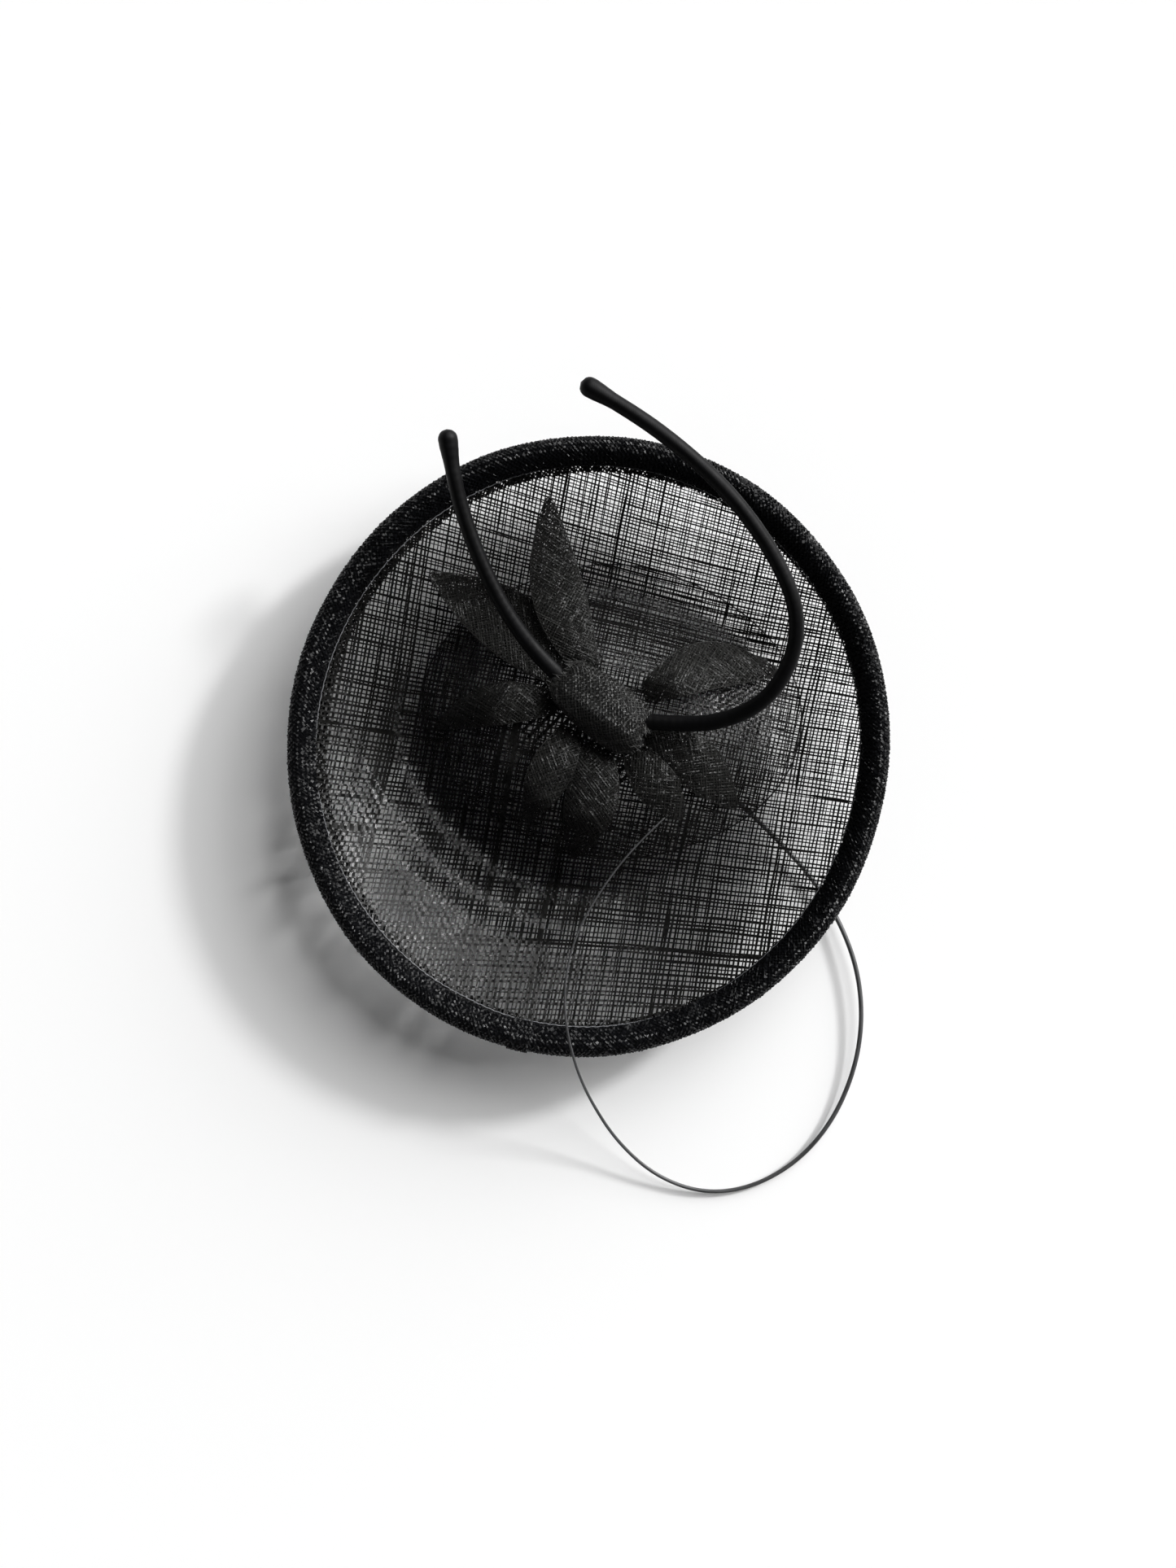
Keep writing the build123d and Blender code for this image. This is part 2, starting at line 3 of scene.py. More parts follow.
import bmesh
import bpy
import numpy as np
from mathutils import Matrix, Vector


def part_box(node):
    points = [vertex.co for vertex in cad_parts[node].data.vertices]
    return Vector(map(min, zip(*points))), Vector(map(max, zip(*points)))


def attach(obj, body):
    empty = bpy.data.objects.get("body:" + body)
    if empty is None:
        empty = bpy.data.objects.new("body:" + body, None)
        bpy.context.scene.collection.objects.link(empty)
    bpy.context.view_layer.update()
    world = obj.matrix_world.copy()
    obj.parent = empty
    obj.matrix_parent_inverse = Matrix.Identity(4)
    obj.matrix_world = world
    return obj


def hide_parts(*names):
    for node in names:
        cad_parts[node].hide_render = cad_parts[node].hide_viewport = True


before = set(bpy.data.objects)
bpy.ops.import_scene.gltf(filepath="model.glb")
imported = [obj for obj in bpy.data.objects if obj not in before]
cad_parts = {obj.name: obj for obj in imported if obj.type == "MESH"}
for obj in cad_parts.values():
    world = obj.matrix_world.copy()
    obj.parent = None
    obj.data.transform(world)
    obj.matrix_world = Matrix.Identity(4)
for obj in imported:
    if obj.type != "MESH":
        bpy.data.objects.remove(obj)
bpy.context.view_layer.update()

# Disc fascinator: woven sinamay disc with a bound edge, petals, knot, stems and quill.
# Metres. Every woven cloth is made of its own threads, passing over and under each other.

bl_info = {
    "name": "Disc fascinator",
    "version": (1, 0, 0),
    "blender": (4, 5, 0),
    "location": "View3D > Sidebar > Fascinator",
    "description": "Makes a woven disc fascinator with petals, a knot, covered stems and a quill",
    "category": "Object",
}

BODY = "root"
MM = 0.001
WELD_DISTANCE = 1e-6


def mean_radius(node):
    """Half the mean width of a nearly round node that is centred on the disc's axis."""
    low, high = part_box(node)
    return (high.x - low.x + high.y - low.y) / 4


# ---- disc: radii read from the frame, and its slight oval ----
DISC_RADIUS = mean_radius("edge_binding")
SHEET_RADIUS = mean_radius("sinamay_disc")
OVAL_SHARE = 0.0175
OVAL_DIRECTION = 75
SHEET_THICKNESS = 0.8 * MM
FLANGE_RADIUS = DISC_RADIUS - 19 * MM
FLANGE_SLOPE = 0.5

# ---- edge binding: widths of its two flaps, and its roll over the rim ----
BINDING_TOP_WIDTH = 13 * MM
BINDING_UNDER_WIDTH = 18 * MM
BINDING_TOP_RISE = 6.1 * MM
BINDING_CREST_RISE = 5.6 * MM
BINDING_CLEARANCE = 1.0 * MM
BINDING_WOBBLE = 0.22 * MM
BINDING_INSET = 0.3 * MM
UNDER_FLAP_TRIM = 5 * MM
LINING_TRIM = 13 * MM
LAP_HALF_WIDTH = 5.0 * MM
LAP_WIDTH_SHARE = 0.78
STITCH_COUNT = 180
RIM_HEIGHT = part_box("edge_binding")[1].z - BINDING_TOP_RISE

# ---- crown: the same oval, groove and ridge as the solid disc ----
CROWN_CENTRE = (8 * MM, 17 * MM)
CROWN_HEIGHT = 36 * MM
CROWN_DOMING = 5 * MM
CROWN_MEAN_RADIUS = 78 * MM
CROWN_END_TERM = 3 * MM
CROWN_LONG_TERM = 10 * MM
CROWN_CORNER_TERM = 2 * MM
CROWN_TURN = 5
FRONT_SHOULDER = 0.55
BACK_SHOULDER = 0.3
GROOVE_DIRECTION = 245
GROOVE_REACH = 18 * MM
BACK_REACH = -12 * MM
RIDGE_OFFSET = 16 * MM
RIDGE_WIDTH = 8 * MM
RIDGE_HEIGHT = 5 * MM
FOOT_SLOPE = 0.25
FOOT_REST_HEIGHT = 0.15 * MM
BACK_FOOT_LIFT = 2.2 * MM
BACK_LIFT_END = (0.60, 0.85)
SIDE_LIFT = 12 * MM
SIDE_LIFT_DIRECTION = -20
SIDE_LIFT_SHARPNESS = 4
UNDERLAY_DROP = 1.4 * MM
UNDERLAY_TURN = -15
UNDERLAY_SHARES = (1.25, 1.15, 0.6)

# ---- knot and petals ----
KNOT_CENTRE = (5.7 * MM, 17.4 * MM)
KNOT_DIRECTION = -38
KNOT_HALF_LENGTH = 24 * MM
KNOT_HALF_WIDTH = 13.5 * MM
KNOT_HALF_HEIGHT = 7.5 * MM
KNOT_SEAT = 0.9 * MM
KNOT_CORE_HALF_LENGTH = 12 * MM
KNOT_LAYERS = (0.35 * MM, -0.25 * MM)
FRAY_COUNT = 46
PETAL_WIDTH = 30 * MM
PETAL_GATHERS = 4
PETAL_GATHER_HEIGHT = 0.12 * MM
PETAL_ARCH = 5 * MM
PETAL_LAYER_STEP = 1.3 * MM
PETAL_ROOT_HALF_WIDTH = 4 * MM
PETAL_TIP_HALF_WIDTH = 1.2 * MM
PETAL_TIP_RISE = 3 * MM
PETAL_LAYERS = ((47, 0.2 * MM), (38, -0.45 * MM))
REST_GAP = 0.3 * MM
PETAL_MIDDLE = 0.4 * MM

# ---- stems and quill: the quill's rises over table and rim are in millimetres ----
STEM_BULB_SHARE = 1.29
STEM_FLATTENING = 0.16
QUILL_TIP_RADIUS = 0.4 * MM
QUILL_DISC_GAP = 2.9 * MM
QUILL_TABLE_RISE = 1.1
QUILL_RIM_RISE = 6.7

# ---- how each cloth varies: shares of its pitch and widths, and reaches in crossings ----
DISC_WEAVE = dict(scatter=0.13, sway=0.16, sway_reach=14, spread=0.28, uneven=0.3, uneven_reach=5,
                  slub_reach=7, slub_lines=0.12, slub=0.8, twist=0.1)
UNDERLAY_WEAVE = dict(scatter=0.1, sway=0.12, sway_reach=14, spread=0.25, uneven=0.25,
                      uneven_reach=5, slub_reach=9, slub_lines=0.05, slub=0.6, twist=0.25)
PETAL_WEAVE = dict(scatter=0.1, sway=0.14, sway_reach=10, spread=0.25, uneven=0.3, uneven_reach=5,
                   slub_reach=9, slub_lines=0.06, slub=0.8, twist=0.7)
BINDING_WEAVE = dict(scatter=0.1, sway=0.14, sway_reach=8, spread=0.25, uneven=0.35,
                     uneven_reach=4, twist=0.7)
KNOT_WEAVE = dict(scatter=0.14, sway=0.25, sway_reach=8, spread=0.3, uneven=0.35, uneven_reach=4,
                  twist=0.5)
TWIST_REACH = 3
WOVEN_RISE = 0.3
BIAS_RISE = 0.5
CLOTH_INSET = 1 * MM
FINE_THREAD = 0.3 * MM
SEEDS = dict(disc=11, underlay=12, binding=21, lap=22, stitch=23, knot=31, frays=35, petals=40)

# ---- stage: the lamps are (name, direction, elevation, width in degrees, strength) ----
CAMERA_PLACE = (0, -17.4 * MM, 1.0368)
CAMERA_LENS = 50.37
CAMERA_SENSOR = 36
LAMPS = (("soft key", 43, 28, 64, 4.3), ("hard key", 33, 28, 7, 1.9))
WORLD_STRENGTH = 0.08
TABLE_HALF_SIZE = 30


# ---------------- shapes ----------------
def smooth(low, high, value):
    """0 below low, 1 above high, and a smooth step between."""
    share = np.clip((value - low) / (high - low), 0, 1)
    return share * share * (3 - 2 * share)


def mix(start, end, share):
    return start + (end - start) * share


def cosd(angle):
    return np.cos(np.radians(angle))


def sind(angle):
    return np.sin(np.radians(angle))


def front_share(angle):
    """1 at the crown's grooved front, 0 at its back."""
    return 0.5 * (1 + cosd(angle - GROOVE_DIRECTION))


def crown_outline(angle):
    """Reach of the crown's oval edge from its centre."""
    turned = angle + CROWN_TURN
    shape = CROWN_END_TERM * cosd(turned) + CROWN_LONG_TERM * cosd(2 * turned)
    return CROWN_MEAN_RADIUS + shape + CROWN_CORNER_TERM * cosd(4 * turned)


def crown_foot(angle):
    """Reach of the lowest line round the crown."""
    return crown_outline(angle) + mix(BACK_REACH, GROOVE_REACH, front_share(angle))


def foot_height(angle):
    lobe = np.maximum(0, cosd(angle - SIDE_LIFT_DIRECTION)) ** SIDE_LIFT_SHARPNESS
    back = BACK_FOOT_LIFT * (1 - smooth(*BACK_LIFT_END, front_share(angle)))
    return FOOT_REST_HEIGHT + np.maximum(SIDE_LIFT * lobe, back)


def flange_height(radius):
    return RIM_HEIGHT - FLANGE_SLOPE * (SHEET_RADIUS - radius)


def stretched(x, y, long_share, short_share):
    """Places scaled by one share along the oval's long direction and another across it."""
    along = (x * cosd(OVAL_DIRECTION) + y * sind(OVAL_DIRECTION)) * long_share
    across = (y * cosd(OVAL_DIRECTION) - x * sind(OVAL_DIRECTION)) * short_share
    right = along * cosd(OVAL_DIRECTION) - across * sind(OVAL_DIRECTION)
    return right, along * sind(OVAL_DIRECTION) + across * cosd(OVAL_DIRECTION)


def round_plan(x, y):
    """The place on a truly round disc that the oval blocking moves to (x, y)."""
    return stretched(x, y, 1 / (1 + OVAL_SHARE), 1 / (1 - OVAL_SHARE))


def ovaled(places):
    """Places of a round piece, stretched to the disc's slight oval."""
    x, y = stretched(places[..., 0], places[..., 1], 1 + OVAL_SHARE, 1 - OVAL_SHARE)
    return np.stack([x, y, places[..., 2]], axis=-1)


def distance_to_flange(angle, radius):
    """From the crown's centre, at an angle, to the oval that was a circle of this radius."""
    x, y = round_plan(*CROWN_CENTRE)
    right, up = round_plan(cosd(angle), sind(angle))
    size = np.hypot(right, up)
    along = (x * right + y * up) / size
    return (np.sqrt(along * along + radius * radius - x * x - y * y) - along) / size


def eased(start, end, start_rise, end_rise, share):
    """From start to end, leaving and arriving at the given rises over the whole run."""
    near = 1 - share
    middle = start_rise * share * near ** 2 - end_rise * near * share ** 2
    return mix(start, end, share * share * (3 - 2 * share)) + middle


def about_crown(x, y):
    """Distance and angle of places from the crown's centre."""
    dx = x - CROWN_CENTRE[0]
    dy = y - CROWN_CENTRE[1]
    return np.hypot(dx, dy), np.degrees(np.arctan2(dy, dx))


def disc_height(x, y):
    """Height of the underside of the disc's sheet, for arrays of places."""
    radius = np.hypot(*round_plan(x, y))
    reach, angle = about_crown(x, y)
    share = front_share(angle)
    foot = crown_foot(angle)
    low = foot_height(angle)
    shoulder = mix(BACK_SHOULDER, FRONT_SHOULDER, share)
    top = CROWN_HEIGHT - CROWN_DOMING * (reach / foot) ** 2
    crown = mix(top, low, smooth(shoulder, 1, reach / foot))
    width = distance_to_flange(angle, FLANGE_RADIUS) - foot
    run = np.clip((reach - foot) / width, 0, 1)
    brim = eased(low, flange_height(FLANGE_RADIUS), FOOT_SLOPE * width, FLANGE_SLOPE * width, run)
    ridge = np.exp(-(((reach - foot - RIDGE_OFFSET) / RIDGE_WIDTH) ** 2))
    brim = brim + RIDGE_HEIGHT * share * ridge * smooth(0, 0.2, run) * (1 - smooth(0.7, 1, run))
    inner = np.where(reach < foot, crown, brim)
    return np.where(radius >= FLANGE_RADIUS, flange_height(np.minimum(radius, SHEET_RADIUS)), inner)


def disc_middle(x, y):
    return np.stack([x, y, disc_height(x, y) + SHEET_THICKNESS / 2], axis=-1)


def raised(surface, rise):
    """The same surface, moved straight up."""
    def moved(a, b):
        place = surface(a, b)
        place[..., 2] += rise
        return place
    return moved


def turned_weave(degrees):
    """Places on the cloth of the crossings of a weave that is turned."""
    turn = math.radians(degrees)

    def flat(p, q):
        return p * math.cos(turn) - q * math.sin(turn), p * math.sin(turn) + q * math.cos(turn)
    return flat


def unit(vectors):
    size = np.linalg.norm(vectors, axis=-1, keepdims=True)
    return vectors / np.maximum(size, 1e-12)


def surface_normal(surface, a, b, step=0.1 * MM):
    here = surface(a, b)
    return unit(np.cross(surface(a + step, b) - here, surface(a, b + step) - here))


def travelled(line):
    """How far along its line each place is."""
    step = np.linalg.norm(np.diff(line, axis=-2), axis=-1)
    return np.concatenate([np.zeros((*step.shape[:-1], 1)), np.cumsum(step, axis=-1)], axis=-1)


def rounding(share):
    """Half width of a round end, from 0 at its tip to 1 where the end begins."""
    return np.sqrt(np.clip(1 - (1 - np.clip(share, 0, 1)) ** 2, 0, 1))


# ---------------- mesh makers ----------------
def placed(name, data):
    """A mesh, camera or lamp as an object in the scene."""
    item = bpy.data.objects.new(name, data)
    bpy.context.scene.collection.objects.link(item)
    return item


def grid_object(name, places, along, across, keep=None, rounded=True):
    """A mesh from bmesh's grid, moved on to an array of places [row, column, xyz].

    along and across are UV arrays; keep says which cells stay. Rows that meet are welded."""
    rows, columns = places.shape[:2]
    bm = bmesh.new()
    bmesh.ops.create_grid(bm, x_segments=columns - 1, y_segments=rows - 1, size=1)
    mesh = bpy.data.meshes.new(name)
    bm.to_mesh(mesh)
    bm.free()
    mesh.vertices.foreach_set("co", places.reshape(-1).astype(np.float32))
    corners = np.zeros(len(mesh.loops), np.int32)
    mesh.loops.foreach_get("vertex_index", corners)
    layer = mesh.uv_layers.new(name="UVMap")
    pairs = np.stack([along.reshape(-1)[corners], across.reshape(-1)[corners]], axis=-1)
    layer.data.foreach_set("uv", pairs.reshape(-1).astype(np.float32))
    bm = bmesh.new()
    bm.from_mesh(mesh)
    if keep is not None:
        kept = keep.reshape(-1)
        bm.faces.ensure_lookup_table()
        gone = [face for face in bm.faces if not kept[face.index]]
        bmesh.ops.delete(bm, geom=gone, context="FACES")
    bmesh.ops.remove_doubles(bm, verts=bm.verts, dist=WELD_DISTANCE)
    for face in bm.faces:
        face.smooth = rounded
    bm.to_mesh(mesh)
    bm.free()
    return placed(name, mesh)


def linked(name, bm):
    """An object in the scene from a finished bmesh."""
    mesh = bpy.data.meshes.new(name)
    bm.to_mesh(mesh)
    bm.free()
    return placed(name, mesh)


def joined(name, items):
    """One object from several."""
    bm = bmesh.new()
    for item in items:
        bm.from_mesh(item.data)
        old = item.data
        bpy.data.objects.remove(item)
        bpy.data.meshes.remove(old)
    return linked(name, bm)


def threads(name, a, b, width, rise, surface, inside, thickness, twist):
    """Flat threads, one per row of the places (a, b) on the flat cloth, ended at its edge.

    surface lays the cloth in space, inside is below zero on the cloth, rise lifts each
    place over or under the crossing thread."""
    a = a.copy()
    b = b.copy()
    gap = inside(a, b)
    cloth = gap < 0
    tip = np.zeros_like(cloth)
    for inner, outer in ((np.s_[:, :-1], np.s_[:, 1:]), (np.s_[:, 1:], np.s_[:, :-1])):
        leaves = cloth[inner] & ~cloth[outer]
        share = np.where(leaves, gap[inner] / np.where(leaves, gap[inner] - gap[outer], 1), 0)
        for flat in (a, b):
            moved = flat[inner] + (flat[outer] - flat[inner]) * share
            flat[outer] = np.where(leaves, moved, flat[outer])
        tip[outer] |= leaves
    place = surface(a, b)
    normal = surface_normal(surface, a, b)
    along = unit(np.gradient(place, axis=1))
    side = unit(np.cross(normal, along))
    face_up = np.cross(along, side)
    turn = twist[..., None]
    side, face_up = (side * np.cos(turn) + face_up * np.sin(turn),
                     face_up * np.cos(turn) - side * np.sin(turn))
    place = place + normal * rise[..., None]
    wide = (np.where(tip, 0, width) / 2)[..., None]
    high = (np.where(tip, 0, thickness) / 2 * np.ones_like(width))[..., None]
    corners = ((1, 1), (1, -1), (-1, -1), (-1, 1), (1, 1))
    around = len(corners)
    ring = [place + side * wide * right + face_up * high * up for right, up in corners]
    count, stations = a.shape
    used = cloth | tip
    cells = np.zeros((count, around, stations - 1), bool)
    cells[:, :-1, :] = (used[:, :-1] & used[:, 1:] & (cloth[:, :-1] | cloth[:, 1:]))[:, None, :]
    length = np.repeat(travelled(place)[:, None, :], around, axis=1)
    number = np.arange(count)[:, None, None] + np.arange(around)[None, :, None] / 8 + 0 * length
    rows = np.stack(ring, axis=1).reshape(-1, stations, 3)
    keep = cells.reshape(-1, stations - 1)[:-1]
    flat_uv = (length.reshape(rows.shape[:2]), number.reshape(rows.shape[:2]))
    return grid_object(name, rows, *flat_uv, keep, False)


def wandering(shape, rng, reach):
    """Smooth random drift along axis 1, between about -1 and 1."""
    count = max(2, int(shape[1] / reach) + 2)
    knots = rng.uniform(-1, 1, (shape[0], count))
    at = np.linspace(0, count - 1.001, shape[1])
    left = at.astype(int)
    share = smooth(0, 1, at - left)
    return mix(knots[:, left], knots[:, left + 1], share)


def varied(rng, shape, pitch, width, look):
    """Drift, sway, width and twist of one set of threads, drawn in a fixed order."""
    drift = rng.normal(0, look["scatter"] * pitch, (shape[0], 1))
    sway = wandering(shape, rng, look["sway_reach"]) * look["sway"] * pitch
    wide = width * np.exp(rng.normal(0, look["spread"], (shape[0], 1)))
    wide = wide * (1 + look["uneven"] * wandering(shape, rng, look["uneven_reach"]))
    if "slub" in look:
        slub = wandering(shape, rng, look["slub_reach"])
        slub_line = rng.uniform(0, 1, (shape[0], 1)) < look["slub_lines"]
        wide = wide * (1 + np.where(slub_line, look["slub"], 0) * smooth(0.35, 0.75, slub))
    return drift, sway, wide, look["twist"] * wandering(shape, rng, TWIST_REACH)


def woven(name, p, q, flat, surface, inside, look, seed):
    """Warp threads at each p and weft threads at each q of a plain weave.

    flat turns (p, q) into places on the cloth. look holds the widths, the thickness, how
    much they vary, and the share of thick slubs."""
    rng = np.random.default_rng(seed)
    made = []
    over = (-1.0) ** (np.arange(len(p))[:, None] + np.arange(len(q))[None, :])
    thick = look["thickness"]
    for label, lines, stations, sign in (("warp", p, q, over), ("weft", q, p, -over.T)):
        shape = (len(lines), len(stations))
        pitch = abs(lines[1] - lines[0])
        drift, sway, wide, twist = varied(rng, shape, pitch, look[label], look)
        line = lines[:, None] + drift + sway
        station = np.broadcast_to(stations[None, :], shape)
        rise = sign * thick * WOVEN_RISE
        a, b = flat(line, station) if label == "warp" else flat(station, line)
        # some cloths widen their threads by place; on the disc this is partly painted shade
        if "fullness" in look:
            wide = wide * look["fullness"](a, b)
        made.append(threads(f"{name}_{label}", a, b, wide, rise, surface, inside, thick, twist))
    return made


def resampled(points, count):
    """Evenly spaced places along a line, and how far along it each one is."""
    points = np.asarray(points, float)
    length = travelled(points)
    wanted = np.linspace(0, length[-1], count)
    return np.stack([np.interp(wanted, length, points[:, k]) for k in range(3)], axis=-1), wanted


def smooth_route(points):
    """The line of a NURBS curve that has the points as its control points."""
    curve = bpy.data.curves.new("route", "CURVE")
    curve.dimensions = "3D"
    spline = curve.splines.new("NURBS")
    spline.points.add(len(points) - 1)
    for point, place in zip(spline.points, points):
        point.co = (*place, 1)
    spline.order_u = 3
    spline.use_endpoint_u = True
    spline.resolution_u = 24
    holder = bpy.data.objects.new("route", curve)
    mesh = bpy.data.meshes.new_from_object(holder)
    line = np.array([vertex.co[:] for vertex in mesh.vertices])
    bpy.data.meshes.remove(mesh)
    bpy.data.objects.remove(holder)
    bpy.data.curves.remove(curve)
    return line


def swept(name, line, count, around, section):
    """A closed tube along a line. section(length, whole, turn) gives (sideways, upwards)."""
    centre, length = resampled(line, count)
    ahead = unit(np.gradient(centre, axis=0))
    side = unit(np.cross([0, 0, 1], ahead))
    up = np.cross(ahead, side)
    turn = np.linspace(0, -2 * math.pi, around + 1)[:, None]
    sideways, upwards = section(length[None, :], length[-1], turn)
    places = centre[None] + side[None] * sideways[..., None] + up[None] * upwards[..., None]
    shape = places.shape[:2]
    along = np.broadcast_to(length[None, :], shape)
    across = np.broadcast_to(turn / (-2 * math.pi), shape)
    return grid_object(name, places, along, across)


def ring_tube(name, line, radius, around=6, wobble=None):
    """A closed loop of thin tube along a closed line of places."""
    ahead = unit(np.roll(line, -1, axis=0) - np.roll(line, 1, axis=0))
    side = unit(np.cross([0, 0, 1], ahead))
    up = np.cross(ahead, side)
    turn = np.linspace(0, -2 * math.pi, around + 1)[:, None, None]
    size = radius if wobble is None else radius * wobble[None, :, None]
    places = line[None] + size * (side[None] * np.cos(turn) + up[None] * np.sin(turn))
    places = np.concatenate([places, places[:, :1]], axis=1)
    along = np.broadcast_to(travelled(places[0])[None, :], places.shape[:2])
    across = np.broadcast_to(np.linspace(0, 1, around + 1)[:, None], places.shape[:2])
    return grid_object(name, places, along, across)


# ---------------- shader maths ----------------
class Term:
    """A shader socket that takes part in plain Python sums."""

    def __init__(self, shader, socket):
        self.shader = shader
        self.socket = socket

    def maths(self, operation, *values):
        return self.shader.node("ShaderNodeMath", {"operation": operation}, list(values))

    def __add__(self, other):
        return self.maths("ADD", self, other)

    def __mul__(self, other):
        return self.maths("MULTIPLY", self, other)

    def __rmul__(self, other):
        return self.maths("MULTIPLY", other, self)


class Shader:
    """A material's node tree with one way to add any node."""

    def __init__(self, name):
        self.material = bpy.data.materials.new(name)
        self.material.use_nodes = True
        self.tree = self.material.node_tree
        self.tree.nodes.clear()
        self.out = self.tree.nodes.new("ShaderNodeOutputMaterial")

    def node(self, kind, settings=None, sockets=None, output=0):
        made = self.tree.nodes.new(kind)
        for key, value in (settings or {}).items():
            if key == "stops":
                while len(made.color_ramp.elements) < len(value):
                    made.color_ramp.elements.new(0.5)
                for element, (position, colour) in zip(made.color_ramp.elements, value):
                    element.position = position
                    element.color = (*colour, 1)
            else:
                setattr(made, key, value)
        pairs = enumerate(sockets) if isinstance(sockets, list) else (sockets or {}).items()
        for key, value in pairs:
            if isinstance(value, Term):
                self.tree.links.new(value.socket, made.inputs[key])
            else:
                made.inputs[key].default_value = value
        return Term(self, made.outputs[output])

    def place(self, kind="Object", scale=(1, 1, 1)):
        where = self.node("ShaderNodeTexCoord", output=kind)
        return self.node("ShaderNodeMapping", None, {"Vector": where, "Scale": scale})

    def noise(self, where, scale, detail=2.0, rough=0.5):
        values = {"Vector": where, "Scale": scale, "Detail": detail, "Roughness": rough}
        return self.node("ShaderNodeTexNoise", None, values)

    def diagonal(self, where, scale, distortion=0.0):
        values = {"Vector": where, "Scale": scale, "Distortion": distortion}
        return self.node("ShaderNodeTexWave", {"bands_direction": "DIAGONAL"}, values)

    def between(self, share, low, high):
        """A value from low to high as share goes from 0 to 1."""
        values = {"Value": share, "To Min": low, "To Max": high}
        return self.node("ShaderNodeMapRange", None, values)

    def ramp(self, share, *stops):
        return self.node("ShaderNodeValToRGB", {"stops": stops}, {"Fac": share})

    def bump(self, height, strength, distance):
        values = {"Height": height, "Strength": strength, "Distance": distance}
        return self.node("ShaderNodeBump", None, values)

    def surface(self, **sockets):
        names = {key.replace("_", " "): value for key, value in sockets.items()}
        body = self.node("ShaderNodeBsdfPrincipled", None, names)
        self.tree.links.new(body.socket, self.out.inputs["Surface"])
        return self.material


def painted(name, share=1):
    """One of the fascinator's colours, or a share of it."""
    return tuple(share * part for part in getattr(bpy.context.scene.finish_colours, name))


def fibre_look(name, colour, dark_share, roughness, specular):
    """Glossy stiff straw fibre: tone changes from thread to thread, fine lengthwise strands."""
    shader = Shader(name)
    lengthwise = shader.place("UV", (60, 8, 1))
    per_thread = shader.noise(shader.place("UV", (4, 3.7, 1)), 1.0, 1.0)
    strands = shader.noise(lengthwise, 6.0, 3.0, 0.6)
    blotch = shader.noise(shader.place(), 30.0, 2.0)
    tone = per_thread * 0.55 + strands * 0.3 + blotch * 0.15
    return shader.surface(
        Base_Color=shader.ramp(tone, (0.3, painted(colour, dark_share)), (0.7, painted(colour))),
        Roughness=shader.between(strands, *roughness),
        Specular_IOR_Level=specular,
        Normal=shader.bump(strands, 0.5, 0.08 * MM),
    )


def cloth_look(name, colour, scale):
    """Close dark cloth under the open threads: a fine slanted weave."""
    shader = Shader(name)
    across = shader.diagonal(shader.place(), scale, 1.5)
    speck = shader.noise(shader.place(), 900.0, 2.0)
    tone = across * 0.4 + speck * 0.6
    return shader.surface(
        Base_Color=shader.ramp(tone, (0.35, painted(colour, 0.2)), (0.75, painted(colour))),
        Roughness=shader.between(speck, 0.6, 0.8),
        Normal=shader.bump(tone, 0.6, 0.2 * MM),
    )


def pattern_look(name, colour, dark_share, pattern, edges, roughness, bump):
    """A look that follows one pattern, from a share of its colour up to the colour.

    edges are where the pattern is darkest and lightest, and bump is (strength, distance)."""
    make, kind, stretch, *values = pattern
    shader = Shader(name)
    tone = make(shader, shader.place(kind, stretch), *values)
    if isinstance(roughness, tuple):
        roughness = shader.between(tone, *roughness)
    dark, light = edges
    return shader.surface(
        Base_Color=shader.ramp(tone, (dark, painted(colour, dark_share)), (light, painted(colour))),
        Roughness=roughness,
        Normal=shader.bump(tone, *bump),
    )


def satin_look(name):
    """Black satin drawn over piping: fine slanted weave, lengthwise creases, a faint sheen."""
    shader = Shader(name)
    weave = shader.diagonal(shader.place("UV", (1000, 12, 1)), 1.0, 0.4)
    creases = shader.noise(shader.place("UV", (260, 2.2, 1)), 1.0, 3.0, 0.55)
    cloud = shader.noise(shader.place(), 60.0, 2.0)
    return shader.surface(
        Base_Color=shader.ramp(cloud, (0.3, painted("satin", 0.25)), (0.75, painted("satin"))),
        Roughness=shader.between(creases, 0.38, 0.6),
        Specular_IOR_Level=0.13,
        Sheen_Weight=0.05,
        Sheen_Roughness=0.3,
        Sheen_Tint=(0.6, 0.63, 0.7, 1),
        Normal=shader.bump(weave * 0.15 + creases, 0.35, 0.35 * MM),
    )


def metal_look(name, colour):
    shader = Shader(name)
    wear = shader.noise(shader.place(), 400.0, 3.0)
    return shader.surface(
        Base_Color=(*painted(colour), 1),
        Metallic=1.0,
        Roughness=shader.between(wear, 0.25, 0.45),
        Normal=shader.bump(wear, 0.15, 0.1 * MM),
    )


def floor_look(name):
    """A pale table that is plain white where it is seen and a little greyer to the light."""
    shader = Shader(name)
    seen = shader.node("ShaderNodeLightPath")
    for ray in ("Is Glossy Ray", "Is Transmission Ray"):
        seen = seen + shader.node("ShaderNodeLightPath", output=ray)
    tone = shader.noise(shader.place(), 2.0, 2.0)
    return shader.surface(
        Base_Color=shader.ramp(seen + 0.01 * tone, (0.0, (0.8, 0.8, 0.8)), (1.0, (1.0, 1.0, 1.0))),
        Roughness=0.95,
        Specular_IOR_Level=0.0,
    )


EVEN = (1, 1, 1)
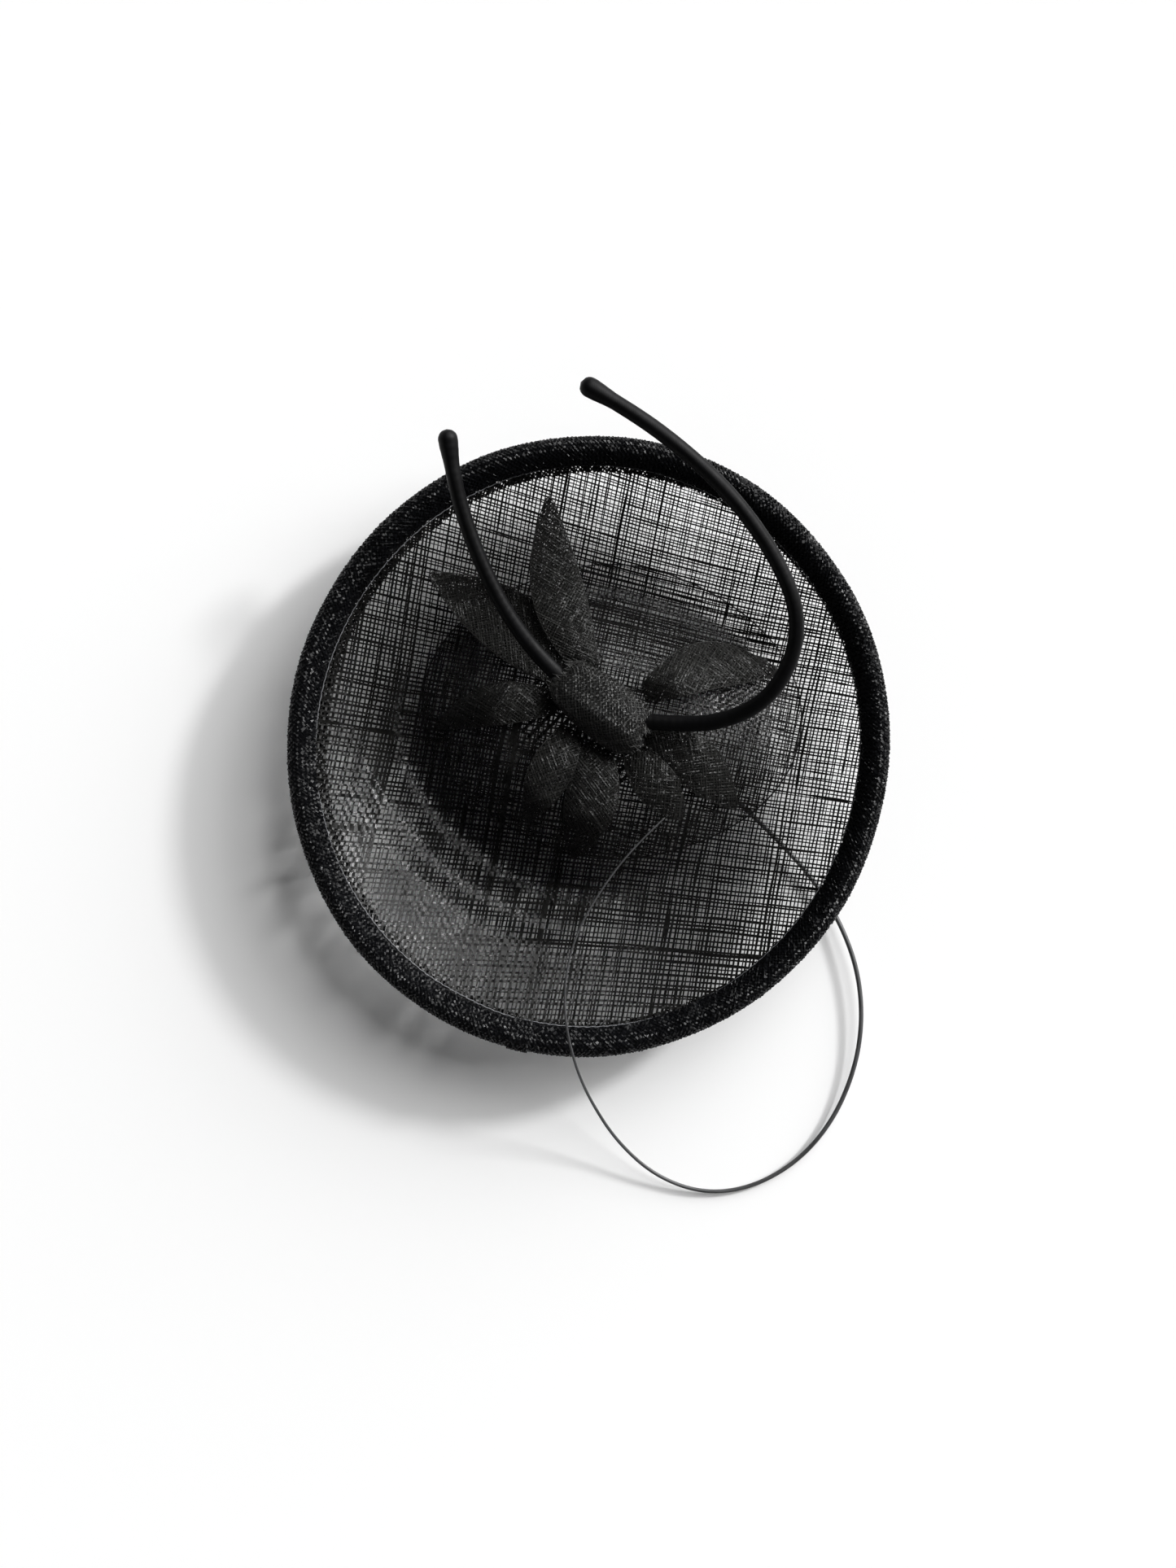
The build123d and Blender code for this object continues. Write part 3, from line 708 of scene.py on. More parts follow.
# each finish: its maker, then the maker's values
FINISHES = {
    "sinamay": (fibre_look, "sinamay", 0.06, (0.12, 0.26), 0.19),
    # petals: the lighter tone is a painted highlight of their lit threads
    "petal_sinamay": (fibre_look, "petal", 0.04, (0.2, 0.4), 0.16),
    "binding": (fibre_look, "binding", 0.05, (0.18, 0.38), 0.2),
    # knot: the lighter tone is a painted highlight of its lit threads
    "knot_sinamay": (fibre_look, "knot", 0.03, (0.2, 0.4), 0.25),
    # frayed ends: light grey as a painted highlight of lit fibres
    "fray": (fibre_look, "fray", 0.17, (0.3, 0.5), 0.5),
    "binding_lining": (cloth_look, "lining", 220.0),
    "knot_lining": (cloth_look, "lining", 260.0),
    "satin": (satin_look,),
    "quill": (pattern_look, "quill", 0.47, (Shader.noise, "UV", (90, 6, 1), 1.0, 3.0),
              (0.3, 0.7), (0.35, 0.5), (0.3, 0.1 * MM)),
    "thread": (pattern_look, "stitching", 0.42, (Shader.diagonal, "UV", (1500, 6, 1), 1.0),
               (0.2, 0.8), 0.45, (0.4, 0.1 * MM)),
    "plain_thread": (pattern_look, "comb", 0.3, (Shader.noise, "Object", EVEN, 3000.0, 2.0),
                     (0.3, 0.7), 0.6, (0.4, 0.1 * MM)),
    "comb_plastic": (pattern_look, "comb", 0.5, (Shader.noise, "Object", EVEN, 90.0, 3.0),
                     (0.3, 0.7), (0.16, 0.3), (0.1, 0.4 * MM)),
    "piping": (pattern_look, "piping", 0.58, (Shader.diagonal, "Object", EVEN, 350.0, 1.0),
               (0.2, 0.8), 0.9, (0.5, 0.3 * MM)),
    "wire": (metal_look, "wire"),
    "joiner": (metal_look, "joiner"),
    "floor": (floor_look,),
}
LOOKS = {}


def look(name):
    """Each finish is made once, when the first piece asks for it."""
    if name not in LOOKS:
        maker, *values = FINISHES[name]
        LOOKS[name] = maker(name, *values)
    return LOOKS[name]


def painted_with(item, finish):
    item.data.materials.clear()
    item.data.materials.append(look(finish))


def dressed(item, finish, slot, *nodes):
    """Gives a piece its finish, puts it on the body and hides the solids it stands for."""
    painted_with(item, finish)
    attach(item, BODY)
    if nodes:
        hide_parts(*nodes)


def lining(name, surface, along, across, finish, slot, node, thickness):
    """A closed sheet of dark cloth under open threads."""
    a, b = np.meshgrid(along, across)
    base = grid_object(name, surface(a, b), a, b)
    wall = base.modifiers.new("Wall", "SOLIDIFY")
    wall.thickness = thickness
    wall.offset = -1
    dressed(base, finish, slot, node)


# ---------------- sizes a user would change ----------------
def number(name, text, value, **kind):
    return bpy.props.FloatProperty(name=name, description=text, default=value, **kind)


def metres(name, text, value):
    return number(name, text, value, unit="LENGTH", precision=5)


class DiscSizes(bpy.types.PropertyGroup):
    warp_pitch: metres("Warp pitch", "Distance between warp threads of the disc", 1.72 * MM)
    weft_pitch: metres("Weft pitch", "Distance between weft threads of the disc", 1.92 * MM)
    thread_width: metres("Thread width", "Middle width of the disc's threads", 0.57 * MM)
    thread_thickness: metres("Thread thickness", "Thickness of the disc's threads", 0.5 * MM)
    warp_lean: number("Warp lean", "Angle of the warp to +Y", math.radians(11), subtype="ANGLE")
    weft_fall: number("Weft fall", "Mean slope of the weft across the disc", 0.16)
    weft_closing: number("Weft closing", "How much closer the weft lies at the back right", 0.2)


class TrimSizes(bpy.types.PropertyGroup):
    petal_pitch: metres("Petal thread pitch", "Distance between threads of the petals", 1.25 * MM)
    binding_pitch: metres("Binding pitch", "Distance between threads of the binding", 1.5 * MM)
    stem_radius: metres("Stem radius", "Radius of the covered stems", 3.4 * MM)
    quill_radius: metres("Quill radius", "Radius of the quill at its root", 1.1 * MM)


def colour(name, text, *value):
    limits = dict(size=3, min=0, max=1, precision=4)
    return bpy.props.FloatVectorProperty(
        name=name, description=text, default=value, subtype="COLOR", **limits)


class FinishColours(bpy.types.PropertyGroup):
    sinamay: colour("Sinamay", "Lightest fibres of the disc", 0.013, 0.0128, 0.0121)
    # the petals' fibres are lighter than the disc's: a painted highlight of their lit threads
    petal: colour("Petals", "Lightest fibres of the petals", 0.034, 0.0337, 0.032)
    binding: colour("Binding", "Lightest fibres of the edge binding", 0.005, 0.0053, 0.0066)
    # the knot's fibres are lighter than the disc's: a painted highlight of its lit threads
    knot: colour("Knot", "Lightest fibres of the knot", 0.04, 0.0397, 0.038)
    # the frayed ends' light grey is a painted highlight of fibres catching the light
    fray: colour("Frayed ends", "Lightest loose fibre ends on the knot", 0.12, 0.12, 0.115)
    lining: colour("Lining", "Close cloth under the binding and the knot", 0.003, 0.0033, 0.005)
    satin: colour("Satin", "Lightest tone of the stems' cover", 0.0028, 0.0028, 0.0034)
    quill: colour("Quill", "Lightest tone of the curled quill", 0.075, 0.076, 0.078)
    stitching: colour("Stitching", "Stitches along the binding", 0.24, 0.245, 0.26)
    comb: colour("Comb", "Comb and hem threads", 0.02, 0.02, 0.022)
    piping: colour("Piping core", "Cord inside the stems", 0.7, 0.68, 0.62)
    wire: colour("Rim wire", "Steel wire inside the binding", 0.35, 0.35, 0.37)
    joiner: colour("Wire joiner", "Brass joiner of the rim wire", 0.75, 0.6, 0.32)


# ---------------- disc ----------------
def weft_coordinate(sizes):
    """The disc's skewed weave: places on the cloth (x, y) of a crossing (p, q)."""
    lean = math.tan(sizes.warp_lean)
    fall = sizes.weft_fall
    closing = sizes.weft_closing / SHEET_RADIUS

    def flat(p, q):
        x = p + 0 * q
        y = q + 0 * p
        for _ in range(12):
            x = p + lean * y
            y = q * (1 - closing * (0.75 * x + 0.5 * q)) - fall * x
        return x, y
    return flat


def outside_circle(radius):
    return lambda x, y: np.hypot(*round_plan(x, y)) - radius


def disc_cloth(sizes):
    def fullness(x, y):
        """Wider threads at the front left, a little narrower ones opposite: partly the weave's own
        unevenness, partly painted shade that darkens the front left, away from the lamps.
        """
        front_left = -(0.6 * x + 0.8 * y) / SHEET_RADIUS
        return 1 + 0.52 * smooth(-0.2, 0.4, front_left) - 0.06 * smooth(0.1, 0.6, -front_left)

    reach = 1.28 * SHEET_RADIUS
    p = np.arange(-reach, reach, sizes.warp_pitch)
    q = np.arange(-reach, reach, sizes.weft_pitch)
    inside = outside_circle(SHEET_RADIUS - CLOTH_INSET)
    look_of = dict(warp=sizes.thread_width, weft=1.05 * sizes.thread_width,
                   thickness=sizes.thread_thickness, fullness=fullness, **DISC_WEAVE)
    flat = weft_coordinate(sizes)
    return woven("disc", p, q, flat, disc_middle, inside, look_of, SEEDS["disc"])


def underlay_cloth(sizes):
    surface = raised(disc_middle, -UNDERLAY_DROP)

    def inside(x, y):
        reach, angle = about_crown(x, y)
        return reach - crown_outline(angle) + CLOTH_INSET

    reach = 1.5 * CROWN_MEAN_RADIUS
    warp_share, weft_share, width_share = UNDERLAY_SHARES
    p = np.arange(-reach, reach, warp_share * sizes.warp_pitch)
    q = np.arange(-reach, reach, weft_share * sizes.weft_pitch)
    width = width_share * sizes.thread_width
    look_of = dict(warp=width, weft=width, thickness=FINE_THREAD, **UNDERLAY_WEAVE)
    angle = np.arange(0, 360, 1.5)
    reach_out = crown_outline(angle) - 0.9 * MM
    x = CROWN_CENTRE[0] + reach_out * cosd(angle)
    y = CROWN_CENTRE[1] + reach_out * sind(angle)
    hem = ring_tube("underlay_hem", surface(x, y), radius=0.35 * MM, around=8)
    flat = turned_weave(UNDERLAY_TURN)
    return woven("underlay", p, q, flat, surface, inside, look_of, SEEDS["underlay"]), hem


class FASCINATOR_OT_disc(bpy.types.Operator):
    """Weaves the dished disc from its warp and weft threads"""
    bl_idname = "fascinator.disc"
    bl_label = "Woven disc"

    def execute(self, context):
        for item in disc_cloth(context.scene.disc_sizes):
            dressed(item, "sinamay", "sinamay", "sinamay_disc")
        return {"FINISHED"}


class FASCINATOR_OT_underlay(bpy.types.Operator):
    """Weaves the second layer under the crown, with its rolled hem"""
    bl_idname = "fascinator.underlay"
    bl_label = "Crown underlay"

    def execute(self, context):
        cloth, hem = underlay_cloth(context.scene.disc_sizes)
        for item in cloth:
            dressed(item, "sinamay", "sinamay", "crown_underlay")
        dressed(hem, "plain_thread", "sinamay", "crown_underlay")
        return {"FINISHED"}


# ---------------- edge binding ----------------
def binding_line():
    """Middle line of the bound edge as (radius, height): top flap, crest, outside, underside."""
    above = SHEET_THICKNESS + BINDING_CLEARANCE
    below = BINDING_CLEARANCE
    middle = DISC_RADIUS - 0.5 * MM
    inner = DISC_RADIUS - BINDING_TOP_WIDTH
    under = DISC_RADIUS - BINDING_UNDER_WIDTH
    crest = RIM_HEIGHT + BINDING_CREST_RISE
    start = flange_height(inner) + above
    line = [(mix(inner, middle, share), height) for share, height in (
        (0, start), (0.20, mix(start, crest, 0.46)), (0.40, mix(start, crest, 0.82)), (0.62, crest),
        (0.84, crest - 0.9 * MM), (0.97, crest - 2.9 * MM), (1, crest - 5.0 * MM),
        (0.93, crest - 6.9 * MM), (0.74, flange_height(SHEET_RADIUS) - below - 0.5 * MM))]
    back = (mix(under, middle, 0.50), under)
    line = np.array(line + [(radius, flange_height(radius) - below) for radius in back])
    for _ in range(3):
        near = 0.75 * line[:-1] + 0.25 * line[1:]
        far = 0.25 * line[:-1] + 0.75 * line[1:]
        between = np.stack([near, far], axis=1).reshape(-1, 2)
        line = np.concatenate([line[:1], between, line[-1:]])
    return line


def binding_surface(lift):
    """Places on the binding: a runs round the disc, b across the strip from its top edge."""
    line = binding_line()
    length = travelled(line)
    normal = np.gradient(line, axis=0)
    normal = unit(np.stack([-normal[:, 1], normal[:, 0]], axis=-1))
    line = line + normal * lift

    def surface(a, b):
        radius = np.interp(b, length, line[:, 0])
        height = np.interp(b, length, line[:, 1])
        angle = -a / DISC_RADIUS
        wobble = np.sin(3 * angle + 1) + 0.7 * np.sin(7 * angle) + 0.5 * np.sin(13 * angle + 2)
        wobble = BINDING_WOBBLE * wobble * smooth(0.2, 0.9, height / RIM_HEIGHT)
        radius = radius + wobble - BINDING_INSET
        return ovaled(np.stack([radius * np.cos(angle), radius * np.sin(angle), height], axis=-1))
    return surface, length[-1]


def slanted_cloth(name, surface, start, end, width, pitch, look, seed, trim=0):
    """A bias-cut strip: threads at 45 degrees from one edge of the strip to the other.

    trim is how much narrower the strip is where its far edge is cut shortest."""
    rng = np.random.default_rng(seed)
    root = math.sqrt(2)
    first = math.floor((start - width) / root / pitch)
    last = math.ceil((end + width) / root / pitch)
    count = math.ceil(root * width / pitch) + 2
    thick = look["thickness"]
    made = []

    def inside(a, b):
        cut = trim * (0.5 + 0.5 * np.cos(a / DISC_RADIUS - 0.3)) ** 0.7
        return np.maximum(np.maximum(-b, b - width + cut), np.maximum(start - a, a - end))

    for label, slant in (("warp", 1), ("weft", -1)):
        line = np.arange(first, last + 1)[:, None] * pitch
        station = (np.arange(count)[None, :] - 1) * pitch
        shape = (line.shape[0], count)
        drift, sway, wide, twist = varied(rng, shape, pitch, look["warp"], look)
        b = station / root + 0 * line
        a = root * (line + drift) + slant * b + sway
        over = slant * (-1.0) ** np.arange(count)[None, :] + 0 * line
        rise = over * thick * BIAS_RISE
        made.append(threads(f"{name}_{label}", a, b, wide, rise, surface, inside, thick, twist))
    return made


class FASCINATOR_OT_binding(bpy.types.Operator):
    """Rolls the bias-cut binding over the disc's edge, with its overlapped end and stitching"""
    bl_idname = "fascinator.binding"
    bl_label = "Edge binding"

    def execute(self, context):
        pitch = context.scene.trim_sizes.binding_pitch
        around = 2 * math.pi * DISC_RADIUS
        look_of = dict(warp=0.58 * pitch, thickness=0.5 * MM, **BINDING_WEAVE)
        surface, width = binding_surface(lift=0.2 * MM)
        for item in slanted_cloth("binding", surface, 0, around, width, pitch, look_of,
                                  SEEDS["binding"], UNDER_FLAP_TRIM):
            dressed(item, "binding", "binding", "edge_binding")
        under, width = binding_surface(lift=-0.15 * MM)
        across = np.linspace(0, width - LINING_TRIM, 36)
        lining("binding_lining", under, np.linspace(0, around, 361), across, "binding_lining",
               "binding", "edge_binding", thickness=0.4 * MM)
        self.lap(look_of, pitch)
        self.stitch()
        return {"FINISHED"}

    def lap(self, look_of, pitch):
        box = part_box("binding_lap")
        middle = (box[0] + box[1]) / 2
        at = (-math.atan2(middle.y, middle.x) % (2 * math.pi)) * DISC_RADIUS
        start, end = at - LAP_HALF_WIDTH, at + LAP_HALF_WIDTH
        surface, width = binding_surface(lift=0.95 * MM)
        width = LAP_WIDTH_SHARE * width
        items = slanted_cloth("binding_lap", surface, start, end, width, pitch, look_of,
                              SEEDS["lap"])
        under, _ = binding_surface(lift=0.7 * MM)
        lining("binding_lap_lining", under, np.linspace(start, end, 9), np.linspace(0, width, 30),
               "binding_lining", "binding", "binding_lap", thickness=0.3 * MM)
        dressed(joined("binding_lap_threads", items), "binding", "binding", "binding_lap")

    def stitch(self):
        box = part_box("binding_stitch")
        radius = mean_radius("binding_stitch") - 0.1 * MM
        height = (box[0].z + box[1].z) / 2
        turn = np.linspace(0, 2 * math.pi, 900, endpoint=False)
        rng = np.random.default_rng(SEEDS["stitch"])
        drift = wandering((1, len(turn)), rng, reach=25)[0]
        wave = 0.12 * MM * np.sin(turn * STITCH_COUNT) + 0.25 * MM * drift
        wave += 0.35 * MM * np.sin(4 * turn + 1)
        reach = radius + wave
        rise = height + 0.15 * MM * np.cos(turn * STITCH_COUNT)
        line = ovaled(np.stack([reach * np.cos(turn), reach * np.sin(turn), rise], axis=-1))
        ply = 1 + 0.2 * np.sin(turn * 300)
        item = ring_tube("binding_stitch_thread", line, radius=0.22 * MM, wobble=ply)
        dressed(item, "thread", "thread", "binding_stitch")


# ---------------- petals ----------------
# root beside the knot, tip from the knot's middle, bow, half width, layer, crease, span
PETALS = {
    "petal_upper_left": ((-0.84, 0.10), (-0.561, 0.446), -0.13, 0.50, 0, -0.10, 0.5),
    "petal_upper": ((-0.61, 0.66), (-0.171, 0.689), 0.17, 0.40, 1, 0.07, 0.6),
    "petal_right": ((0.49, 1.29), (0.596, 0.125), 0.27, 0.38, 1, 0.08, 0.0),
    "petal_lower_right": ((1.03, 0.30), (0.450, -0.325), 0.10, 0.38, 0, 0.07, 0.0),
    "petal_lower_middle": ((1.00, -0.59), (0.268, -0.361), 0.0, 0.32, 1, 0.07, 0.0),
    "petal_lower": ((0.35, -0.97), (-0.096, -0.496), 0.10, 0.40, 0, 0.10, 0.0),
    "petal_lower_left": ((-0.17, -1.18), (-0.243, -0.368), 0.0, 0.32, 1, 0.07, 0.0),
    "petal_left": ((-0.72, -0.77), (-0.546, -0.054), -0.13, 0.32, 0, 0.07, 0.0),
}
KNOT_AXIS = np.array([cosd(KNOT_DIRECTION), sind(KNOT_DIRECTION), 0])
KNOT_SIDE = np.array([-KNOT_AXIS[1], KNOT_AXIS[0], 0])


def beside_knot(along, across):
    """A place in plan, along the knot's axis and across it."""
    return (np.array([*KNOT_CENTRE, 0]) + along * KNOT_AXIS + across * KNOT_SIDE)[:2]


def petal_surface(root, tip, bow, half_width, layer, crease, span):
    """Places on a petal: a runs from root to tip, b across. Also its length and half width."""
    root = beside_knot(root[0] * KNOT_HALF_LENGTH, root[1] * KNOT_HALF_WIDTH)
    tip = np.array(tip) * DISC_RADIUS + KNOT_CENTRE
    length = np.hypot(*(tip - root))
    along = (tip - root) / length
    across = np.array([-along[1], along[0]])
    disc_root, disc_tip = (disc_height(*end) + SHEET_THICKNESS for end in (root, tip))

    def belly_at(share):
        return np.sin(math.pi * np.clip(share, 0, 1) ** 0.85)

    def half_at(share):
        edge = mix(PETAL_ROOT_HALF_WIDTH, PETAL_TIP_HALF_WIDTH, share)
        return edge + (half_width * PETAL_WIDTH - edge) * np.maximum(belly_at(share), 0) ** 0.9

    def surface(a, b):
        share = np.clip(a / length, 0, 1)
        belly = belly_at(share)
        side = np.clip(b / half_at(share), -1.2, 1.2)
        offset = bow * PETAL_WIDTH * np.sin(math.pi * share)
        x = root[0] + along[0] * a + across[0] * (offset + b)
        y = root[1] + along[1] * a + across[1] * (offset + b)
        step = PETAL_LAYER_STEP * smooth(0, 0.3, share) + PETAL_TIP_RISE * share
        lift = PETAL_ARCH * belly + layer * step
        fold = crease * PETAL_WIDTH * belly * (1 - side * side)
        gathers = PETAL_GATHER_HEIGHT * (1 - share) ** 1.5 * np.cos(PETAL_GATHERS * math.pi * side)
        straight = mix(disc_root, disc_tip, share)
        rest = mix(disc_height(x, y) + SHEET_THICKNESS, straight, span * belly)
        return np.stack([x, y, rest + REST_GAP + PETAL_MIDDLE + lift + fold + gathers], axis=-1)
    return surface, length, half_at


class FASCINATOR_OT_petals(bpy.types.Operator):
    """Cuts the petals from two layers of fine sinamay on the bias, with rolled edges"""
    bl_idname = "fascinator.petals"
    bl_label = "Petals"

    def execute(self, context):
        pitch = context.scene.trim_sizes.petal_pitch
        for number, (name, shape) in enumerate(PETALS.items()):
            self.petal(name, shape, pitch, SEEDS["petals"] + 10 * number)
        return {"FINISHED"}

    def petal(self, name, shape, pitch, seed):
        surface, length, half_at = petal_surface(*shape)
        widest = shape[3] * PETAL_WIDTH

        def inside(a, b):
            share = np.clip(a / length, 0, 1)
            return np.maximum(np.abs(b) - half_at(share), np.maximum(-a, a - length))

        reach = length + widest
        p = np.arange(-widest, reach, pitch)
        q = np.arange(-reach, widest, pitch)
        width = 0.4 * pitch
        look_of = dict(warp=width, weft=width, thickness=FINE_THREAD, **PETAL_WEAVE)
        pieces = []
        for layer, (turn, rise) in enumerate(PETAL_LAYERS):
            flat = turned_weave(turn)
            pieces += woven(f"{name}_{layer}", p, q, flat, raised(surface, rise), inside, look_of,
                            seed + layer)
        dressed(joined(f"{name}_cloth", pieces), "petal_sinamay", "petal_sinamay", name)
        self.edge(name, surface, length, half_at)

    def edge(self, name, surface, length, half_at):
        share = np.linspace(0, 1, 60)
        a = np.concatenate([share, share[::-1]]) * length
        b = np.concatenate([half_at(share), -half_at(share[::-1])])
        rim = ring_tube(f"{name}_edge", surface(a, b), radius=0.26 * MM)
        dressed(rim, "petal_sinamay", "petal_sinamay", name)


# ---------------- knot ----------------
def knot_middle():
    """Middle of the knot, seated on the crown."""
    x, y = KNOT_CENTRE
    top = float(disc_height(np.array(x), np.array(y))) + SHEET_THICKNESS
    return np.array([x, y, top + KNOT_SEAT + KNOT_HALF_HEIGHT])


def knot_surface(lift):
    """Places on the wrapped knot: a along its axis, b round it in turns."""
    middle = knot_middle()

    def surface(a, b):
        share = a / KNOT_HALF_LENGTH
        turn = b * 2 * math.pi
        swell = (1 - 0.2 * share ** 2) * (1 - 0.35 * smooth(0.75, 1.05, np.abs(share)))
        folds = 0.6 * np.sin(4 * turn + 1.1 * share + 0.5 * np.sin(2 * share))
        folds = folds + 0.4 * np.sin(7 * turn - 1.4 * share + 1)
        folds = folds + 0.2 * np.sin(11 * turn + 2 * share)
        lumps = 0.4 * np.sin(3 * share + 2 * turn) * np.sin(2 * turn + 1)
        puff = lift + (folds + lumps - 0.6) * 0.7 * MM
        wide = KNOT_HALF_WIDTH * swell + puff
        high = KNOT_HALF_HEIGHT * swell + puff * 0.7
        slide = KNOT_AXIS * (1.2 * MM * np.sin(3 * turn + 1) * share ** 3)[..., None]
        out = KNOT_SIDE * (wide * np.cos(turn))[..., None]
        up = np.array([0, 0, 1]) * (high * np.sin(turn))[..., None]
        return middle + KNOT_AXIS * a[..., None] + slide + out + up
    return surface


class FASCINATOR_OT_knot(bpy.types.Operator):
    """Wraps the gathered knot round the petals' roots"""
    bl_idname = "fascinator.knot"
    bl_label = "Knot"

    def execute(self, context):
        pitch = context.scene.trim_sizes.petal_pitch
        girth = 2 * math.pi * 0.5 * (KNOT_HALF_WIDTH + KNOT_HALF_HEIGHT)
        half = KNOT_HALF_LENGTH
        under = knot_surface(lift=-0.7 * MM)
        lining("knot_lining", under, np.linspace(-half, half, 60), np.linspace(0, 1, 121),
               "knot_lining", "knot_sinamay", "knot_wrap", thickness=0.4 * MM)
        look_of = dict(warp=0.36 * pitch, thickness=FINE_THREAD, **KNOT_WEAVE)
        pieces = []
        for layer, lift in enumerate(KNOT_LAYERS):
            wrap = knot_surface(lift)

            def surface(along, round_it):
                return wrap(round_it - half, along / girth)

            pieces += slanted_cloth(f"knot_{layer}", surface, 0, girth, 2 * half, pitch, look_of,
                                    SEEDS["knot"] + layer)
        dressed(joined("knot_threads", pieces), "knot_sinamay", "knot_sinamay", "knot_wrap")
        dressed(self.frays(), "fray", "knot_sinamay", "knot_wrap")
        return {"FINISHED"}

    def frays(self):
        """Loose cut ends of thread where the wrap's two ends and its long edge show."""
        rng = np.random.default_rng(SEEDS["frays"])
        wrap = knot_surface(lift=0.5 * MM)
        ends = []
        for number in range(FRAY_COUNT):
            end = number % 3
            along = (-1, 1, rng.uniform(-0.85, 0.85))[end] * KNOT_HALF_LENGTH * 0.96
            turn = rng.uniform(0.02, 0.46) if end < 2 else rng.uniform(0.15, 0.2)
            length = rng.uniform(2, 5) * MM
            lean = rng.uniform(-1, 1) * length
            share = np.linspace(0, 1, 5)
            reach = (-1, 1, rng.uniform(-1, 1))[end] * length
            path = wrap(along - 0.4 * reach + reach * share, turn + lean * share / (60 * MM))
            path[:, 2] += rng.uniform(0.1, 0.7) * MM * share ** 2
            ahead = unit(np.gradient(path, axis=0))
            side = unit(np.cross([0, 0, 1], ahead)) * (0.2 * MM * (1 - 0.7 * share ** 2))[:, None]
            up = np.array([0, 0, 0.09 * MM])
            places = np.stack([path - side, path + up, path + side, path - up, path - side])
            where = np.broadcast_to(share[None, :] * length, places.shape[:2])
            across = number + np.arange(5)[:, None] / 8 + 0 * where
            ends.append(grid_object(f"fray_{number}", places, where, across))
        return joined("knot_frays", ends)


# ---------------- stems and quill ----------------
def core_end(side, across, room):
    """A place just past one end of the knot's core."""
    reach = KNOT_CORE_HALF_LENGTH + room
    return knot_middle() + KNOT_AXIS * side * reach + KNOT_SIDE * across


def from_knot(*offsets):
    """Places over the knot's middle, in shares of the disc's radius."""
    return [knot_middle() + np.array(offset) * DISC_RADIUS for offset in offsets]


LEFT_STEM = [core_end(-1, -1 * MM, 0.3 * MM)] + from_knot(
    (-0.169, 0.126, 0.004), (-0.291, 0.279, 0.043), (-0.376, 0.440, 0.086), (-0.441, 0.615, 0.129),
    (-0.473, 0.761, 0.157), (-0.486, 0.869, 0.175))
RIGHT_STEM = [core_end(1, 3.5 * MM, 2.0 * MM)] + from_knot(
    (0.231, -0.056, 0.014), (0.381, -0.053, 0.064), (0.524, 0.011, 0.139), (0.606, 0.147, 0.204),
    (0.613, 0.297, 0.257), (0.538, 0.458, 0.300), (0.416, 0.622, 0.343), (0.271, 0.758, 0.379),
    (0.090, 0.889, 0.407), (-0.063, 0.971, 0.425))


def under_disc(place, drop):
    """Height of the quill under the disc; drop is in millimetres."""
    return float(disc_height(*np.array(place))) - QUILL_DISC_GAP - drop * MM


def over_table(place, rise):
    return (QUILL_TABLE_RISE + rise) * MM


def over_rim(place, rise):
    return RIM_HEIGHT + (QUILL_RIM_RISE + rise) * MM


def quill_places(height, *shares):
    """Places from (right, up) in shares of the disc's radius and a rise in millimetres."""
    flat = [((right * DISC_RADIUS, up * DISC_RADIUS), rise) for right, up, rise in shares]
    return [(*place, height(place, rise)) for place, rise in flat]


QUILL = [
    *quill_places(under_disc, (0.26, 0.02, 0.8), (0.38, -0.08, 2.2), (0.50, -0.18, 5.0)),
    *quill_places(
        over_table, (0.635, -0.31, 4.5), (0.755, -0.44, 2.6), (0.845, -0.585, 4.0),
        (0.905, -0.745, 4.8), (0.922, -0.915, 4.4), (0.897, -1.085, 3.4), (0.823, -1.260, 2.1),
        (0.703, -1.400, 1.1), (0.545, -1.487, 0.6), (0.383, -1.503, 1.1), (0.223, -1.440, 3.9),
        (0.094, -1.315, 11.0), (0.008, -1.168, 24.0)),
    *quill_places(
        over_rim, (-0.04, -1.045, -1.0), (-0.075, -0.895, 4.5), (-0.075, -0.743, 5.0),
        (-0.036, -0.60, 4.5), (0.043, -0.464, 3.5), (0.143, -0.332, 2.5), (0.25, -0.232, 1.5)),
]


class FASCINATOR_OT_stems(bpy.types.Operator):
    """Covers the two wired stems in satin, with a seam along each and a rounded tip"""
    bl_idname = "fascinator.stems"
    bl_label = "Covered stems"

    def execute(self, context):
        radius = context.scene.trim_sizes.stem_radius
        for side, route in (("left", LEFT_STEM), ("right", RIGHT_STEM)):
            self.stem(side, smooth_route(route), radius)
        return {"FINISHED"}

    def stem(self, side, line, radius):
        bulb = STEM_BULB_SHARE * radius

        def section(length, whole, turn):
            left = whole - length
            size = mix(radius, bulb, 1 - smooth(bulb, 4 * bulb, left))
            size = size * rounding(left / bulb) * rounding(length / (0.4 * radius))
            flat = 1 - STEM_FLATTENING * (1 - smooth(0.1, 0.4, length / whole))
            seam = 1 + 0.05 * np.exp(-((np.cos(turn / 2 + 0.9) / 0.09) ** 2))
            ripple = 1 + 0.012 * np.sin(length / MM * 1.7) * np.cos(turn - 1.0)
            return (size * np.cos(turn) * seam * ripple / flat ** 0.5,
                    size * np.sin(turn) * flat * seam * ripple)

        item = swept(f"{side}_stem", line, count=260, around=24, section=section)
        dressed(item, "satin", "satin", f"{side}_stem_cover")


